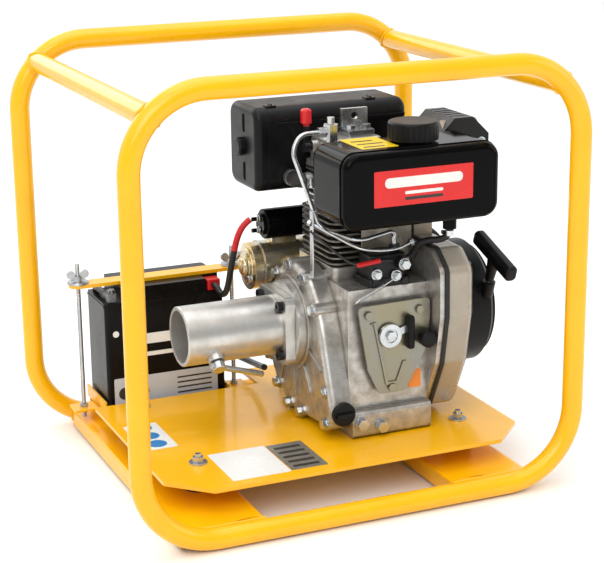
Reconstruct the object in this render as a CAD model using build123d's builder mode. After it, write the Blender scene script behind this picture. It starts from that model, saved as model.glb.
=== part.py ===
from build123d import *
import os
from math import cos, sin, radians, degrees, atan2, sqrt, tan

os.makedirs("parts", exist_ok=True)

# Engine drive unit in a carrying frame.  All sizes are in millimetres.
# X runs along the crankshaft (drive tube towards -X), -Y is the tank side, +Z is up,
# and the origin is on the ground under the middle of the frame.

# ---------------------------------------------------------------- frame sizes
tube_r = 13.45
tube_wall = 2.6
hoop_width = 588.0
hoop_height = 544.0
hoop_bend = 94.5
hoop_y = 244.65
cross_tube_end_gap = 3.0

sheet = 3.0
channel_depth = 23.0
channel_top = 2.0 * tube_r
channel_outer_left = -245.0
channel_inner_left = -136.0
channel_inner_right = 122.0
channel_outer_right = 231.0
channel_end_gap = 4.6

mount_left_x = -177.0
mount_right_x = 197.0
mount_y = 114.0
mount_height = 27.0
mount_r = 20.0
stud_r = 4.0
stud_gap = 0.3
nut_across = 13.0
nut_height = 6.8
washer_r = 12.0
washer_height = 2.0

plate_left = -238.0
plate_right = 262.0
plate_front = -206.0
plate_back_left = 138.0
plate_back_right = 206.0
plate_step_x = 7.0
plate_chamfer = 50.0
plate_thick = 5.0
plate_bottom = channel_top + mount_height
plate_top = plate_bottom + plate_thick
plate_hole_x = -196.0
plate_hole_y = 23.0
plate_hole_r = 4.5

# ---------------------------------------------------------------- engine sizes
crank_z = plate_top + 132.5
case_left = 35.0
case_right = 150.0
foot_y = 126.0
foot_height = 37.0
case_y = 112.0
case_top = 275.0
case_shelf = 258.0
upper_case_y = 60.0
crank_room_r = 76.0
bore_r = 35.0
stroke = 57.0
cylinder_x = 92.5
cylinder_top = 345.0
fin_half_x = 54.0
fin_half_y = 54.0
fin_thick = 2.6
barrel_r = 45.0
head_front = -50.0
head_back = 36.0
head_top = 402.0

cover_thick = 30.0
cover_left = case_left - cover_thick
cover_top_r = 82.0
cover_low_r = 97.0
cover_low_drop = 31.5
cover_lobe_r = 28.0
cover_lobe_y = -95.0
cover_lobe_z = 100.0
cover_wall = 7.0
boss_r = 9.0
bolt_inset = 5.0
bolt_r = 4.0
bolt_hole_gap = 0.3
bolt_head_height = 5.3
bolt_across = 12.0
cover_bolt_length = 52.0

journal_r = 17.5
running_gap = 0.05
bearing_width = 12.0
shaft_r = 12.7
shaft_end_x = -57.0
pin_r = 16.0
web_thick = 14.0
web_r = 38.0

tube_out_r = 40.0
tube_in_r = 35.0
tube_seat_depth = 58.0
tube_back_r = 34.0
mouth_x = -158.0
flange_left = -25.0
flange_thick = 14.0
flange_half = 46.0
flange_pitch = 34.0
adapter_r = 58.0
screw_r = 4.0
screw_head_r = 6.5
screw_head_height = 8.0

lock_x = -119.0
lock_angle = 40.1
lock_boss_r = 11.0
lock_boss_end = 47.0
lock_screw_r = 6.0
lock_screw_pitch = 1.75
lock_head_start = 49.0
lock_head_end = 59.0
lock_head_r = 9.0
bar_r = 4.0
bar_tail = 12.0
bar_length = 90.0
bar_turn = 26.4

back_plate_thick = 7.0
back_plate_x = case_right
seal_thick = 5.5
seal_proud = 2.5
shroud_x = back_plate_x + back_plate_thick + seal_thick
shroud_end = 202.0
shroud_wall = 2.5
duct_front = -48.0
duct_back = 58.0
duct_top = 348.0
intake_r = 92.0

wheel_r = 98.0
wheel_left = 166.0
wheel_thick = 16.0
wheel_seat_r = 14.0
ring_gear_r = 104.0
ring_gear_width = 8.0
ring_teeth = 72

recoil_ring_r = 112.0
recoil_ring_thick = 6.0
recoil_r = 86.0
recoil_cap_x = 224.0
recoil_end = 272.0
recoil_wall = 3.0
rope_x = 258.0
rope_r = 1.75
guide_y = -84.0
guide_z = crank_z + 41.0
rope_lean = 0.33
pulley_flange_r = 76.0
pulley_groove = 8.0
pulley_flange = 4.0
pull_travel = 100.0
handle_length = 98.0
handle_width = 22.0
handle_thick = 17.0
stem_start = 9.0
handle_rise = 48.0
rope_below = 100.0

starter_y = 104.0
starter_z = 246.0
starter_r = 34.5
starter_left = -22.0
solenoid_y = 92.0
solenoid_z = 307.0
solenoid_r = 21.0
solenoid_left = 0.0
solenoid_length = 62.0

cleaner_left = -28.0
cleaner_joint = -9.0
cleaner_right = 197.0
cleaner_front = 40.0
cleaner_back = 140.0
cleaner_bottom = 362.0
cleaner_top = 476.0
cleaner_wall = 3.0
element_r = 42.0

muffler_left = 203.0
muffler_right = 270.0
muffler_front = -44.0
muffler_back = 36.0
muffler_bottom = 353.0
muffler_top = 454.0
guard_gap = 3.0
guard_sheet = 1.5

tank_left = 9.0
tank_right = 229.0
tank_front = -160.0
tank_back = -55.0
tank_bottom = 348.0
tank_top = 446.0
tank_round = 20.0
neck_x = 130.0
neck_y = -107.0
neck_r = 24.0
neck_bore_r = 19.0
neck_height = 8.0
neck_depth = 30.0
cap_r = 33.0
cap_bottom = 448.0
cap_top = 473.0

battery_left = -214.0
battery_length = 175.0
battery_front = 150.0
battery_depth = 87.0
battery_bottom = 46.0
battery_height = 176.0
notch_length = 26.0
notch_depth = 23.0
notch_height = 20.0
tray_gap = 3.0
bar_y = 187.0
rod_left_x = -240.0
rod_right_x = -12.0
rod_r = 3.0
hold_bar_half_width = 13.0
hold_bar_thick = 5.0



def arc_radii(points, largest):
    """Largest smooth arc at each inner corner of a pipe or lead, no larger than the given size."""
    radii = []
    for before, corner, after in zip(points, points[1:], points[2:]):
        first = Vector(*corner) - Vector(*before)
        second = Vector(*after) - Vector(*corner)
        half_turn = radians(first.get_angle(second)) / 2.0
        radii.append(min(largest, 0.45 * min(first.length, second.length) / tan(half_turn)))
    return radii


# ---------------------------------------------------------------- carrying frame
hoop_centre_z = tube_r + hoop_height / 2.0
hoop_half_w = hoop_width / 2.0
hoop_half_h = hoop_height / 2.0

with BuildPart() as front_hoop:
    with BuildLine(Plane.XZ.offset(hoop_y)) as front_path:
        FilletPolyline(
            (-hoop_half_w, tube_r),
            (hoop_half_w, tube_r),
            (hoop_half_w, tube_r + hoop_height),
            (-hoop_half_w, tube_r + hoop_height),
            radius=hoop_bend,
            close=True,
        )
    with BuildSketch(Plane(front_path.line @ 0, z_dir=front_path.line % 0)):
        Circle(tube_r)
        Circle(tube_r - tube_wall, mode=Mode.SUBTRACT)
    sweep()

with BuildPart() as rear_hoop:
    add(front_hoop.part.moved(Location((0, 2.0 * hoop_y, 0))))

bend_x = hoop_half_w - hoop_bend
bend_z = tube_r + hoop_height - hoop_bend
cross_x = bend_x + hoop_bend * sin(radians(45.0))
cross_z = bend_z + hoop_bend * cos(radians(45.0))

with BuildPart() as upper_left_cross_tube:
    with BuildSketch(Plane.XZ):
        with Locations((-cross_x, cross_z)):
            Circle(tube_r)
            Circle(tube_r - tube_wall, mode=Mode.SUBTRACT)
    extrude(amount=hoop_y - cross_tube_end_gap, both=True)
    with Locations(
        Location((-bend_x, -hoop_y, bend_z), (90, 0, 0)),
        Location((-bend_x, hoop_y, bend_z), (90, 0, 0)),
    ):
        Torus(hoop_bend, tube_r, mode=Mode.SUBTRACT)

with BuildPart() as upper_right_cross_tube:
    with BuildSketch(Plane.XZ):
        with Locations((cross_x, cross_z)):
            Circle(tube_r)
            Circle(tube_r - tube_wall, mode=Mode.SUBTRACT)
    extrude(amount=hoop_y - cross_tube_end_gap, both=True)
    with Locations(
        Location((bend_x, -hoop_y, bend_z), (90, 0, 0)),
        Location((bend_x, hoop_y, bend_z), (90, 0, 0)),
    ):
        Torus(hoop_bend, tube_r, mode=Mode.SUBTRACT)

# folded channels that join the two hoops along the ground
with BuildPart() as left_cross_channel:
    with BuildSketch(Plane.XZ):
        with Locations(((channel_outer_left + channel_inner_left) / 2.0, channel_top)):
            Rectangle(channel_inner_left - channel_outer_left, channel_depth, align=(Align.CENTER, Align.MAX))
        with Locations(((channel_outer_left + channel_inner_left) / 2.0, channel_top - sheet)):
            Rectangle(
                channel_inner_left - channel_outer_left - 2.0 * sheet,
                channel_depth,
                align=(Align.CENTER, Align.MAX),
                mode=Mode.SUBTRACT,
            )
    extrude(amount=hoop_y - channel_end_gap, both=True)
    fillet(left_cross_channel.edges().filter_by(Axis.Y).group_by(Axis.Z)[-1], sheet)
    with Locations((mount_left_x, -mount_y, channel_top), (mount_left_x, mount_y, channel_top)):
        Hole(stud_r + stud_gap, depth=2.0 * sheet)
    with Locations(
        Location((-hoop_half_w / 2.0, -hoop_y, tube_r), (0, 90, 0)),
        Location((-hoop_half_w / 2.0, hoop_y, tube_r), (0, 90, 0)),
    ):
        Cylinder(tube_r, hoop_width / 2.0, mode=Mode.SUBTRACT)
    with Locations(
        Location((-bend_x, -hoop_y, tube_r + hoop_bend), (90, 0, 0)),
        Location((-bend_x, hoop_y, tube_r + hoop_bend), (90, 0, 0)),
    ):
        Torus(hoop_bend, tube_r, mode=Mode.SUBTRACT)

with BuildPart() as right_cross_channel:
    with BuildSketch(Plane.XZ):
        with Locations(((channel_outer_right + channel_inner_right) / 2.0, channel_top)):
            Rectangle(channel_outer_right - channel_inner_right, channel_depth, align=(Align.CENTER, Align.MAX))
        with Locations(((channel_outer_right + channel_inner_right) / 2.0, channel_top - sheet)):
            Rectangle(
                channel_outer_right - channel_inner_right - 2.0 * sheet,
                channel_depth,
                align=(Align.CENTER, Align.MAX),
                mode=Mode.SUBTRACT,
            )
    extrude(amount=hoop_y - channel_end_gap, both=True)
    fillet(right_cross_channel.edges().filter_by(Axis.Y).group_by(Axis.Z)[-1], sheet)
    with Locations((mount_right_x, -mount_y, channel_top), (mount_right_x, mount_y, channel_top)):
        Hole(stud_r + stud_gap, depth=2.0 * sheet)
    with Locations(
        Location((hoop_half_w / 2.0, -hoop_y, tube_r), (0, 90, 0)),
        Location((hoop_half_w / 2.0, hoop_y, tube_r), (0, 90, 0)),
    ):
        Cylinder(tube_r, hoop_width / 2.0, mode=Mode.SUBTRACT)
    with Locations(
        Location((bend_x, -hoop_y, tube_r + hoop_bend), (90, 0, 0)),
        Location((bend_x, hoop_y, tube_r + hoop_bend), (90, 0, 0)),
    ):
        Torus(hoop_bend, tube_r, mode=Mode.SUBTRACT)

mount_points = [
    (mount_left_x, -mount_y),
    (mount_left_x, mount_y),
    (mount_right_x, -mount_y),
    (mount_right_x, mount_y),
]

with BuildPart() as rubber_mounts:
    with BuildSketch(Plane.XY.offset(channel_top)):
        with Locations(*mount_points):
            Circle(mount_r)
            Circle(stud_r + stud_gap, mode=Mode.SUBTRACT)
    extrude(amount=mount_height)
    with BuildSketch(Plane.XY.offset(channel_top + mount_height / 4.0)):
        with Locations(*mount_points):
            Circle(mount_r)
            Circle(mount_r - sheet, mode=Mode.SUBTRACT)
    extrude(amount=mount_height / 2.0, mode=Mode.SUBTRACT)

foot_bolt_points = [(52.0, -95.0), (52.0, 95.0), (133.0, -95.0), (133.0, 95.0)]
foot_bolt_r = 5.0

# stud, two nuts and a washer for each rubber mount, and the engine's four foot bolts
stud_bottom = channel_top - sheet - nut_height - stud_r
stud_top = plate_top + washer_height + nut_height + stud_r

with BuildPart() as plate_fasteners:
    with BuildSketch(Plane.XY.offset(stud_bottom)):
        with Locations(*mount_points):
            Circle(stud_r)
    extrude(amount=stud_top - stud_bottom)
    with BuildSketch(Plane.XY.offset(plate_top)):
        with Locations(*mount_points):
            Circle(washer_r)
    extrude(amount=washer_height)
    with BuildSketch(Plane.XY.offset(plate_top + washer_height)):
        with Locations(*mount_points):
            RegularPolygon(nut_across / 2.0, 6, major_radius=False)
    extrude(amount=nut_height)
    with BuildSketch(Plane.XY.offset(channel_top - sheet - nut_height)):
        with Locations(*mount_points):
            RegularPolygon(nut_across / 2.0, 6, major_radius=False)
    extrude(amount=nut_height)
    with BuildSketch(Plane.XY.offset(plate_bottom)):
        with Locations(*foot_bolt_points):
            RegularPolygon(1.6 * foot_bolt_r, 6, major_radius=False)
    extrude(amount=-1.3 * foot_bolt_r)
    with BuildSketch(Plane.XY.offset(plate_bottom)):
        with Locations(*foot_bolt_points):
            Circle(foot_bolt_r)
    extrude(amount=plate_thick + 4.0 * foot_bolt_r)

with BuildPart() as base_plate:
    with BuildSketch(Plane.XY.offset(plate_bottom)):
        Polygon(
            (plate_left + plate_chamfer, plate_front),
            (plate_right - plate_chamfer, plate_front),
            (plate_right, plate_front + plate_chamfer),
            (plate_right, plate_back_right - plate_chamfer),
            (plate_right - plate_chamfer, plate_back_right),
            (plate_step_x, plate_back_right),
            (plate_step_x, plate_back_left),
            (plate_left, plate_back_left),
            (plate_left, plate_front + plate_chamfer),
            align=None,
        )
        with Locations(*mount_points):
            Circle(stud_r + stud_gap, mode=Mode.SUBTRACT)
        with Locations(*foot_bolt_points):
            Circle(foot_bolt_r + stud_gap, mode=Mode.SUBTRACT)
        with Locations((plate_hole_x, plate_hole_y)):
            Circle(plate_hole_r, mode=Mode.SUBTRACT)
    extrude(amount=plate_thick)
    fillet(base_plate.edges().filter_by(Axis.Z).sort_by(Axis.X)[:1], plate_thick)

# ---------------------------------------------------------------- crankcase
low_centre_z = crank_z - cover_low_drop
plug_x = 20.0
plug_z = 98.0
plug_y = cover_lobe_y - cover_lobe_r
plug_r = 16.0
plug_stem_r = 9.0
# outline of the fan housing, seen along the crankshaft
outline = [
    (-50.0, plate_top + 3.5),
    (-101.0, plate_top + 22.0),
    (-136.0, 150.0),
    (-149.0, 218.0),
    (-148.0, 280.0),
    (-120.0, 303.0),
    (120.0, 303.0),
    (146.0, 280.0),
    (146.0, 218.0),
    (134.0, 150.0),
    (101.0, plate_top + 22.0),
    (50.0, plate_top + 3.5),
]
top_bolt_r = cover_top_r - bolt_inset
low_bolt_r = cover_low_r - bolt_inset
lobe_bolt_r = cover_lobe_r - bolt_inset
bolt_points = [
    (top_bolt_r * cos(radians(a)), crank_z + top_bolt_r * sin(radians(a))) for a in (10, 46, 82, 118, 154)
]
bolt_points += [
    (low_bolt_r * cos(radians(a)), low_centre_z + low_bolt_r * sin(radians(a))) for a in (335, 308, 282, 256)
]
bolt_points += [
    (cover_lobe_y - lobe_bolt_r * cos(radians(a)), cover_lobe_z + lobe_bolt_r * sin(radians(a))) for a in (-62, 72)
]

with BuildPart() as crankcase:
    with BuildSketch(Plane.YZ.offset(case_left)):
        with Locations((0, plate_top + foot_height / 2.0)):
            RectangleRounded(2.0 * foot_y, foot_height, 6.0)
    extrude(amount=case_right - case_left)
    with BuildSketch(Plane.YZ.offset(case_left)):
        Polygon(
            (-case_y, plate_top + foot_height / 2.0),
            (case_y, plate_top + foot_height / 2.0),
            (case_y, crank_z - 30.0),
            (upper_case_y, crank_z + 10.0),
            (upper_case_y, case_shelf),
            (-case_y, case_shelf),
            align=None,
        )
    extrude(amount=case_right - case_left)
    with BuildSketch(Plane.XY.offset(case_shelf)):
        with Locations((cylinder_x, 0)):
            RectangleRounded(2.0 * fin_half_x, 2.0 * upper_case_y, 8.0)
    extrude(amount=case_top - case_shelf)
    # wide wall that closes the fan housing
    with BuildSketch(Plane.YZ.offset(back_plate_x)):
        Polygon(*outline, align=None)
        fillet(vertices(), 14.0)
        with Locations((starter_y, starter_z)):
            Circle(12.5, mode=Mode.SUBTRACT)
    extrude(amount=back_plate_thick)
    # bosses that carry the timing cover bolts and the lever plate
    with BuildSketch(Plane.YZ.offset(case_left)):
        with Locations(*bolt_points):
            Circle(boss_r)
    extrude(amount=cover_bolt_length - cover_thick)
    with BuildSketch(Plane.XZ.offset(case_y)):
        with Locations((58.0, 226.0), (132.0, 226.0), (92.0, 128.0)):
            Circle(boss_r)
    extrude(amount=9.0)
    with BuildSketch(Plane.YZ.offset(case_left)):
        with Locations((0, crank_z)):
            Circle(crank_room_r)
    extrude(amount=case_right - case_left - bearing_width, mode=Mode.SUBTRACT)
    with BuildSketch(Plane.YZ.offset(case_left)):
        with Locations((0, crank_z)):
            Circle(journal_r + running_gap)
    extrude(amount=case_right + back_plate_thick - case_left, mode=Mode.SUBTRACT)
    with BuildSketch(Plane.XY.offset(crank_z)):
        with Locations((cylinder_x, 0)):
            Circle(bore_r + sheet)
    extrude(amount=case_top - crank_z, mode=Mode.SUBTRACT)
    with BuildSketch(Plane.YZ.offset(case_left)):
        with Locations(*bolt_points):
            Circle(bolt_r + bolt_hole_gap)
    extrude(amount=cover_bolt_length - cover_thick + bolt_r, mode=Mode.SUBTRACT)
    # flat seat for the cylinder
    with BuildSketch(Plane.XY.offset(case_top)):
        with Locations((cylinder_x, 0)):
            Rectangle(2.0 * fin_half_x, 2.0 * upper_case_y)
    extrude(amount=boss_r, mode=Mode.SUBTRACT)
    with BuildSketch(Plane.XY.offset(plate_top)):
        with Locations(*foot_bolt_points):
            Circle(foot_bolt_r + bolt_hole_gap)
    extrude(amount=5.0 * foot_bolt_r, mode=Mode.SUBTRACT)

with BuildPart() as timing_cover:
    with BuildSketch(Plane.YZ.offset(cover_left)):
        with Locations((0, crank_z)):
            Circle(cover_top_r)
        with Locations((0, low_centre_z)):
            Circle(cover_low_r)
        with Locations((cover_lobe_y, cover_lobe_z)):
            Circle(cover_lobe_r)
        make_hull()
    extrude(amount=cover_thick)
    fillet(timing_cover.faces().sort_by(Axis.X)[0].edges(), 9.0)
    with BuildSketch(Plane.YZ.offset(cover_left)):
        with Locations(*bolt_points):
            Circle(boss_r)
    extrude(amount=cover_thick)
    # boss round the shaft that takes the adapter
    with BuildSketch(Plane.YZ.offset(cover_left)):
        with Locations((0, crank_z)):
            Circle(adapter_r + 6.0)
    extrude(amount=-5.0)
    # raised ribs between the shaft boss and the rim
    with BuildSketch(Plane.YZ.offset(cover_left)):
        for turn in (205, 235, 265, 295, 325):
            with Locations(Location((0, crank_z), turn)):
                with Locations((cover_top_r, 0)):
                    Rectangle(cover_top_r / 2.0, 5.0)
    extrude(amount=-2.5)
    with BuildSketch(Plane.YZ.offset(case_left)):
        with Locations((0, crank_z)):
            Circle(cover_top_r - 2.0 * boss_r)
        with Locations((0, low_centre_z)):
            Circle(cover_low_r - 2.0 * boss_r)
        make_hull()
        with Locations((0, crank_z)):
            Circle(journal_r + 2.0 * cover_wall, mode=Mode.SUBTRACT)
    extrude(amount=-(cover_thick - cover_wall), mode=Mode.SUBTRACT)
    with BuildSketch(Plane.YZ.offset(cover_left)):
        with Locations((0, crank_z)):
            Circle(journal_r + running_gap)
    extrude(amount=cover_thick, both=True, mode=Mode.SUBTRACT)
    # neck of the oil filler
    with BuildSketch(Plane.XZ.offset(-plug_y - 12.0)):
        with Locations((plug_x, plug_z)):
            Circle(13.0)
    extrude(amount=15.0)
    with BuildSketch(Plane.XZ.offset(-plug_y - 14.0)):
        with Locations((plug_x, plug_z)):
            Circle(plug_stem_r + 0.4)
    extrude(amount=20.0, mode=Mode.SUBTRACT)
    with BuildSketch(Plane.YZ.offset(cover_left - bolt_r)):
        with Locations(*bolt_points):
            Circle(bolt_r + bolt_hole_gap)
    extrude(amount=cover_thick + bolt_r, mode=Mode.SUBTRACT)

# hexagon flange bolts of the timing cover, with the two oil plugs of the foot
with BuildPart() as crankcase_bolts:
    with BuildSketch(Plane.YZ.offset(cover_left)):
        with Locations(*bolt_points):
            Circle(bolt_across / 2.0 + 2.0)
    extrude(amount=-1.5)
    with BuildSketch(Plane.YZ.offset(cover_left - 1.5)):
        with Locations(*bolt_points):
            RegularPolygon(bolt_across / 2.0, 6, major_radius=False)
    extrude(amount=-bolt_head_height)
    with BuildSketch(Plane.YZ.offset(cover_left)):
        with Locations(*bolt_points):
            Circle(bolt_r)
    extrude(amount=cover_bolt_length)
    # oil drain plug and level plug in the foot
    with BuildSketch(Plane.XZ.offset(foot_y)):
        with Locations((47.0, plate_top + 21.0), (76.0, plate_top + 14.0)):
            Circle(9.0)
    extrude(amount=1.5)
    with BuildSketch(Plane.XZ.offset(foot_y + 1.5)):
        with Locations((47.0, plate_top + 21.0), (76.0, plate_top + 14.0)):
            RegularPolygon(7.0, 6, major_radius=False)
    extrude(amount=7.0)

# ---------------------------------------------------------------- cylinder and head
with BuildPart() as cylinder_barrel:
    with BuildSketch(Plane.XY.offset(case_top)):
        with Locations((cylinder_x, 0)):
            Circle(barrel_r)
    extrude(amount=cylinder_top - case_top)
    fin_pitch = (cylinder_top - case_top) / 9.0
    for level in range(9):
        with BuildSketch(Plane.XY.offset(case_top + level * fin_pitch + fin_pitch / 4.0)):
            with Locations((cylinder_x, 0)):
                RectangleRounded(2.0 * fin_half_x, 2.0 * fin_half_y, 14.0)
        extrude(amount=fin_thick)
    with BuildSketch(Plane.XY.offset(case_top)):
        with Locations((cylinder_x, 0)):
            Circle(bore_r)
    extrude(amount=cylinder_top - case_top, mode=Mode.SUBTRACT)

head_y = (head_front + head_back) / 2.0
head_depth = head_back - head_front
with BuildPart() as cylinder_head:
    with BuildSketch(Plane.XY.offset(cylinder_top)):
        with Locations((cylinder_x, head_y)):
            RectangleRounded(2.0 * (fin_half_x - 12.0), head_depth - 14.0, 8.0)
    extrude(amount=head_top - cylinder_top)
    head_pitch = (head_top - cylinder_top) / 7.0
    for level in range(7):
        with BuildSketch(Plane.XY.offset(cylinder_top + level * head_pitch)):
            with Locations((cylinder_x, head_y)):
                RectangleRounded(2.0 * fin_half_x, head_depth, 10.0)
        extrude(amount=fin_thick)
    with BuildSketch(Plane.XY.offset(head_top - fin_thick)):
        with Locations((cylinder_x, head_y)):
            RectangleRounded(2.0 * fin_half_x, head_depth, 10.0)
    extrude(amount=fin_thick)

rocker_left = 38.0
rocker_right = 132.0
rocker_front = -36.0
rocker_back = 34.0
rocker_top = 440.0
injector_x = 52.0
injector_y = -24.0
injector_r = 7.0
lever_y = 4.0
lever_z = 428.0
lever_shaft_r = 4.0
with BuildPart() as rocker_cover:
    with BuildSketch(Plane.XY.offset(head_top)):
        with Locations(((rocker_left + rocker_right) / 2.0, (rocker_front + rocker_back) / 2.0)):
            RectangleRounded(rocker_right - rocker_left, rocker_back - rocker_front, 12.0)
    extrude(amount=5.0)
    with BuildSketch(Plane.XY.offset(head_top)):
        with Locations(((rocker_left + rocker_right) / 2.0, (rocker_front + rocker_back) / 2.0)):
            RectangleRounded(rocker_right - rocker_left - 8.0, rocker_back - rocker_front - 8.0, 10.0)
    extrude(amount=rocker_top - head_top, taper=4.0)
    fillet(rocker_cover.faces().sort_by(Axis.Z)[-1].edges(), 5.0)
    with BuildSketch(Plane.YZ.offset(rocker_left - 2.0)):
        with Locations((lever_y, lever_z)):
            Circle(lever_shaft_r + 4.0)
    extrude(amount=16.0)
    with BuildSketch(Plane.YZ.offset(rocker_left - 4.0)):
        with Locations((lever_y, lever_z)):
            Circle(lever_shaft_r + running_gap)
    extrude(amount=20.0, mode=Mode.SUBTRACT)
    with BuildSketch(Plane.XY.offset(head_top)):
        with Locations((injector_x, injector_y)):
            Circle(injector_r)
    extrude(amount=rocker_top, mode=Mode.SUBTRACT)

# injector body with hexagon, side pipe union and leak-off nipple
with BuildPart() as injector:
    with BuildSketch(Plane.XY.offset(head_top)):
        with Locations((injector_x, injector_y)):
            Circle(injector_r)
    extrude(amount=rocker_top + 6.0 - head_top)
    with BuildSketch(Plane.XY.offset(rocker_top + 1.0)):
        with Locations((injector_x, injector_y)):
            RegularPolygon(9.0, 6, major_radius=False)
    extrude(amount=20.0)
    with BuildSketch(Plane.XY.offset(rocker_top + 21.0)):
        with Locations((injector_x, injector_y)):
            Circle(5.0)
    extrude(amount=9.0)
    with BuildSketch(Plane.YZ.offset(injector_x - 18.0)):
        with Locations((injector_y, rocker_top + 11.0)):
            RegularPolygon(6.0, 6, major_radius=False)
    extrude(amount=12.0)

# small lever that holds the valve open for easy cranking, with its grip on the upper end
grip_bottom = 456.0
grip_top = 479.0
lever_left = 26.0
lever_thick = 6.0
with BuildPart() as decompression_lever:
    with BuildSketch(Plane.YZ.offset(lever_left)):
        with Locations((lever_y, lever_z)):
            Circle(lever_shaft_r + 3.0)
        with Locations((lever_y, (lever_z + grip_bottom) / 2.0 + 2.0)):
            Rectangle(8.0, grip_bottom - lever_z + 4.0)
    extrude(amount=lever_thick)
    with BuildSketch(Plane.YZ.offset(lever_left + lever_thick)):
        with Locations((lever_y, lever_z)):
            Circle(lever_shaft_r)
    extrude(amount=18.0)
    with BuildSketch(Plane.XY.offset(grip_bottom + 4.0)):
        with Locations((lever_left + lever_thick / 2.0, lever_y)):
            RectangleRounded(13.0, 15.0, 5.0)
    extrude(amount=grip_top - grip_bottom - 4.0)
    fillet(decompression_lever.faces().sort_by(Axis.Z)[-1].edges(), 4.0)

bracket_x = 100.0
with BuildPart() as lifting_bracket:
    with BuildSketch(Plane.XY.offset(rocker_top)):
        with Locations((bracket_x, -1.0)):
            RectangleRounded(38.0, 34.0, 3.0)
    extrude(amount=8.0)
    with BuildSketch(Plane.XZ.offset(-5.0)):
        with Locations((bracket_x, rocker_top + 4.0)):
            Rectangle(38.0, 30.0, align=(Align.CENTER, Align.MIN))
        with Locations((bracket_x, rocker_top + 24.0)):
            Circle(5.0, mode=Mode.SUBTRACT)
    extrude(amount=-6.0)
    with BuildSketch(Plane.XY.offset(rocker_top + 8.0)):
        with Locations((bracket_x - 11.0, -8.0), (bracket_x + 11.0, -8.0)):
            RegularPolygon(5.5, 6, major_radius=False)
    extrude(amount=6.0)

# ---------------------------------------------------------------- crankshaft, flywheel and bearings
web_left = cylinder_x - pin_r / 2.0 - web_thick - 2.0
web_right = cylinder_x + pin_r / 2.0 + 2.0
with BuildPart() as crankshaft:
    with BuildSketch(Plane.YZ.offset(shaft_end_x)):
        with Locations((0, crank_z)):
            Circle(shaft_r)
    extrude(amount=cover_left - 8.0 - shaft_end_x)
    chamfer(crankshaft.faces().sort_by(Axis.X)[0].edges(), 1.5)
    with BuildSketch(Plane.YZ.offset(cover_left - 8.0)):
        with Locations((0, crank_z)):
            Circle(journal_r)
    extrude(amount=web_left + web_thick - cover_left + 8.0)
    with BuildSketch(Plane.YZ.offset(web_right)):
        with Locations((0, crank_z)):
            Circle(journal_r)
    extrude(amount=back_plate_x + back_plate_thick + 4.0 - web_right)
    with BuildSketch(Plane.YZ.offset(back_plate_x)):
        with Locations((0, crank_z)):
            Circle(wheel_seat_r)
    extrude(amount=wheel_left + wheel_thick + 22.0 - back_plate_x)
    with BuildSketch(Plane.YZ.offset(wheel_left + wheel_thick + 6.3)):
        with Locations((0, crank_z)):
            RegularPolygon(18.0, 6, major_radius=False)
    extrude(amount=12.0)
    # webs with their counterweights below the journal
    for start in (web_left, web_right):
        with BuildSketch(Plane.YZ.offset(start)):
            with Locations((0, crank_z)):
                Circle(web_r + 16.0)
                Rectangle(4.0 * web_r, 4.0 * web_r, align=(Align.CENTER, Align.MIN), mode=Mode.SUBTRACT)
            with Locations((0, crank_z + stroke / 4.0)):
                RectangleRounded(2.0 * pin_r + 8.0, stroke / 2.0 + 2.0 * pin_r + 8.0, pin_r)
        extrude(amount=web_thick)
    with BuildSketch(Plane.YZ.offset(web_left)):
        with Locations((0, crank_z + stroke / 2.0)):
            Circle(pin_r)
    extrude(amount=web_right + web_thick - web_left)

with BuildPart() as drive_coupling:
    with BuildSketch(Plane.YZ.offset(mouth_x + 62.0)):
        with Locations((0, crank_z)):
            Circle(tube_in_r - 8.0)
    extrude(amount=72.0)
    chamfer(drive_coupling.faces().sort_by(Axis.X)[0].edges(), 2.0)
    with BuildSketch(Plane.YZ.offset(shaft_end_x)):
        with Locations((0, crank_z)):
            Circle(shaft_r)
    extrude(amount=60.0, mode=Mode.SUBTRACT)
    # square socket that takes the flexible shaft's end
    with BuildSketch(Plane.YZ.offset(mouth_x + 62.0)):
        with Locations((0, crank_z)):
            Rectangle(21.0, 21.0)
    extrude(amount=shaft_end_x - mouth_x - 62.0, mode=Mode.SUBTRACT)

with BuildPart() as flywheel:
    with BuildSketch(Plane.YZ.offset(wheel_left)):
        with Locations((0, crank_z)):
            Circle(wheel_r)
    extrude(amount=wheel_thick)
    # toothed rim for the starter pinion
    with BuildSketch(Plane.YZ.offset(wheel_left)):
        with Locations((0, crank_z)):
            Circle(ring_gear_r - 2.5)
            with PolarLocations(ring_gear_r - 2.0, ring_teeth):
                Rectangle(4.0, 3.6)
    extrude(amount=ring_gear_width)
    with BuildSketch(Plane.YZ.offset(wheel_left)):
        with Locations((0, crank_z)):
            Circle(wheel_r - 12.0)
            Circle(2.2 * wheel_seat_r, mode=Mode.SUBTRACT)
    extrude(amount=6.0, mode=Mode.SUBTRACT)
    with BuildSketch(Plane.YZ.offset(wheel_left + wheel_thick)):
        with Locations((0, crank_z)):
            Circle(2.2 * wheel_seat_r)
    extrude(amount=6.0)
    # fan blades
    with BuildSketch(Plane.YZ.offset(wheel_left + wheel_thick)):
        with Locations((0, crank_z)):
            with PolarLocations(wheel_r - 20.0, 16):
                Rectangle(34.0, 3.0, rotation=28.0)
    extrude(amount=14.0)
    with BuildSketch(Plane.YZ.offset(wheel_left)):
        with Locations((0, crank_z)):
            Circle(wheel_seat_r)
    extrude(amount=wheel_thick + 6.0, mode=Mode.SUBTRACT)

# ---------------------------------------------------------------- drive tube with its lock
screw_points = [
    (-flange_pitch, crank_z - flange_pitch),
    (-flange_pitch, crank_z + flange_pitch),
    (flange_pitch, crank_z - flange_pitch),
    (flange_pitch, crank_z + flange_pitch),
]
lock_dir = (0.0, -cos(radians(lock_angle)), -sin(radians(lock_angle)))
flange_right = flange_left + flange_thick

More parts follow.
